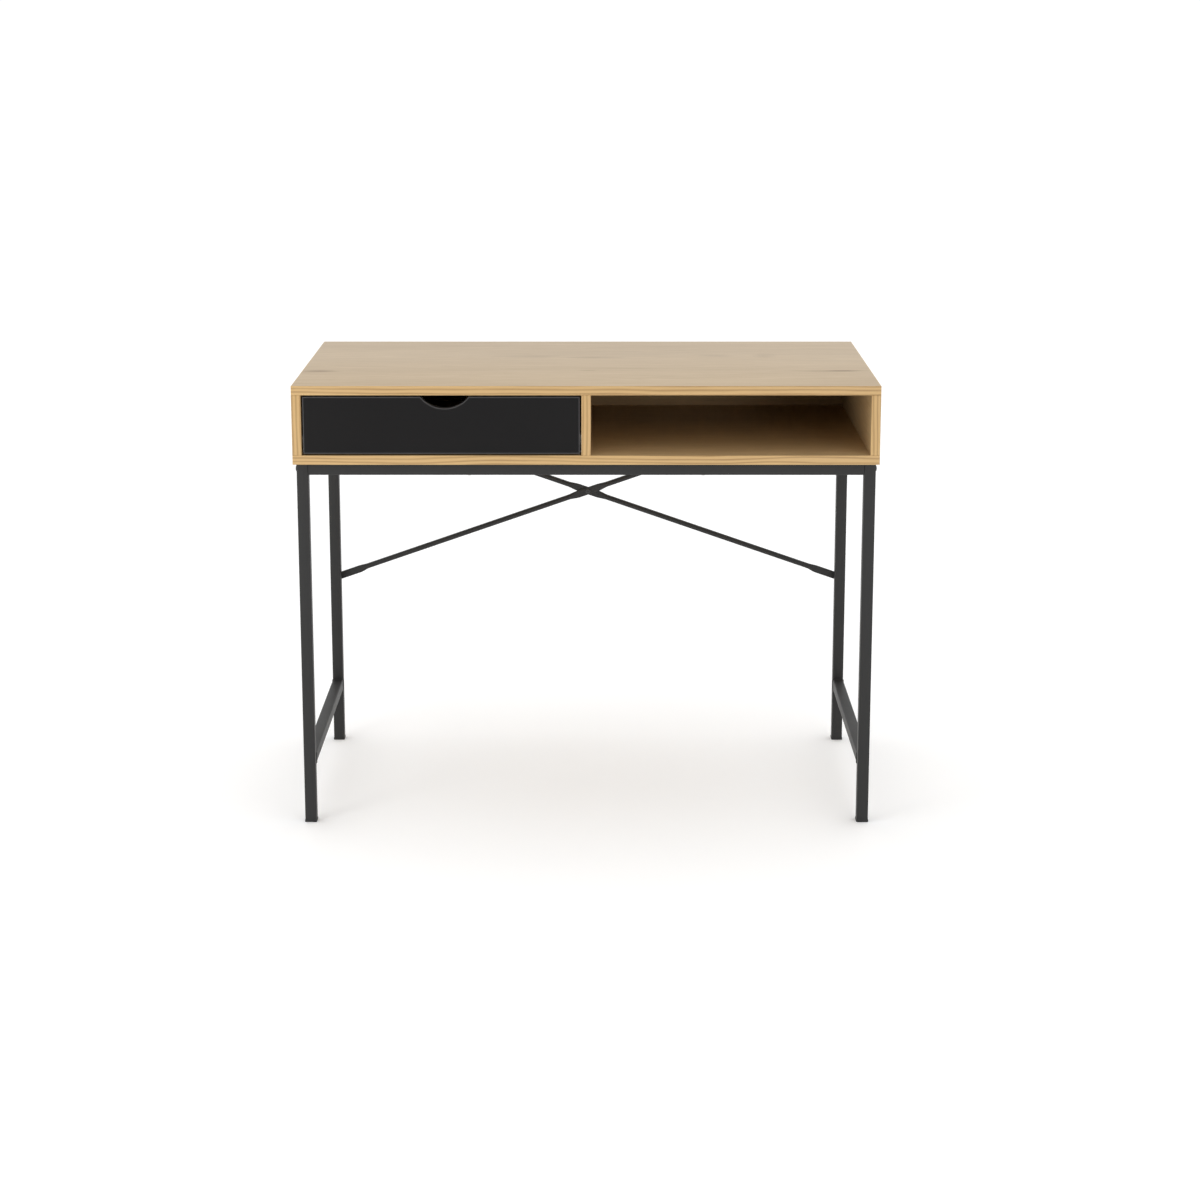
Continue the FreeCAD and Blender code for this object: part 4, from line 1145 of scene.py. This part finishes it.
class DESK_OT_stage(bpy.types.Operator):
    """Pale floor, soft light and the camera"""

    bl_idname = "desk.stage"
    bl_label = "Stage"

    def execute(self, context):
        scene = context.scene
        deselect()
        bpy.ops.mesh.primitive_plane_add(size=FLOOR_SIZE, location=(0, 0, 0))
        floor = bpy.context.object
        floor.name = "floor"
        material, nodes = finish("pale_floor", FLOOR_TONES[0], 0.7, specular=0.2)
        dust = nodes.noise(nodes.place(), 3.0, 2.0)
        nodes.link(nodes.mix(dust, *FLOOR_TONES), nodes.shader.inputs["Base Color"])
        nodes.shader.inputs["Emission Color"].default_value = (1, 1, 1, 1)
        nodes.shader.inputs["Emission Strength"].default_value = FLOOR_GLOW
        dress(floor, material)

        scene.world = studio_world()
        for lamp in LAMPS:
            area_light(*lamp)

        turn = [math.radians(angle) for angle in CAMERA_TURN]
        bpy.ops.object.camera_add(location=CAMERA_PLACE, rotation=turn)
        camera = bpy.context.object
        camera.data.lens = CAMERA_LENS
        camera.data.sensor_width = CAMERA_SENSOR
        camera.data.shift_y = CAMERA_SHIFT
        scene.camera = camera
        scene.view_settings.view_transform = "Standard"
        scene.view_settings.look = "None"
        return {"FINISHED"}


# ---- Add-on ----------------------------------------------

STEPS = (
    DESK_OT_board_box, DESK_OT_cam_locks, DESK_OT_steel_frame, DESK_OT_foot_caps, DESK_OT_frame_bolts,
    DESK_OT_brace, DESK_OT_drawer, DESK_OT_kept_pieces, DESK_OT_stage,
)


class DESK_PT_panel(bpy.types.Panel):
    """The desk's sizes, finishes and build steps"""

    bl_label = "Writing Desk"
    bl_idname = "DESK_PT_panel"
    bl_space_type = "VIEW_3D"
    bl_region_type = "UI"
    bl_category = "Desk"

    def draw(self, context):
        for group in (context.scene.desk_sizes, context.scene.desk_finishes):
            box = self.layout.box()
            for key in group.__annotations__:
                box.prop(group, key)
        for step in STEPS:
            self.layout.operator(step.bl_idname)


def register():
    for group in (DeskSizes, DeskFinishes, *STEPS, DESK_PT_panel):
        bpy.utils.register_class(group)
    bpy.types.Scene.desk_sizes = PointerProperty(type=DeskSizes)
    bpy.types.Scene.desk_finishes = PointerProperty(type=DeskFinishes)


def unregister():
    del bpy.types.Scene.desk_finishes
    del bpy.types.Scene.desk_sizes
    for group in reversed((DeskSizes, DeskFinishes, *STEPS, DESK_PT_panel)):
        bpy.utils.unregister_class(group)


def main():
    """Build every piece in order."""
    register()
    for step in STEPS:
        family, name = step.bl_idname.split(".")
        getattr(getattr(bpy.ops, family), name)()


if __name__ == "__main__":
    main()
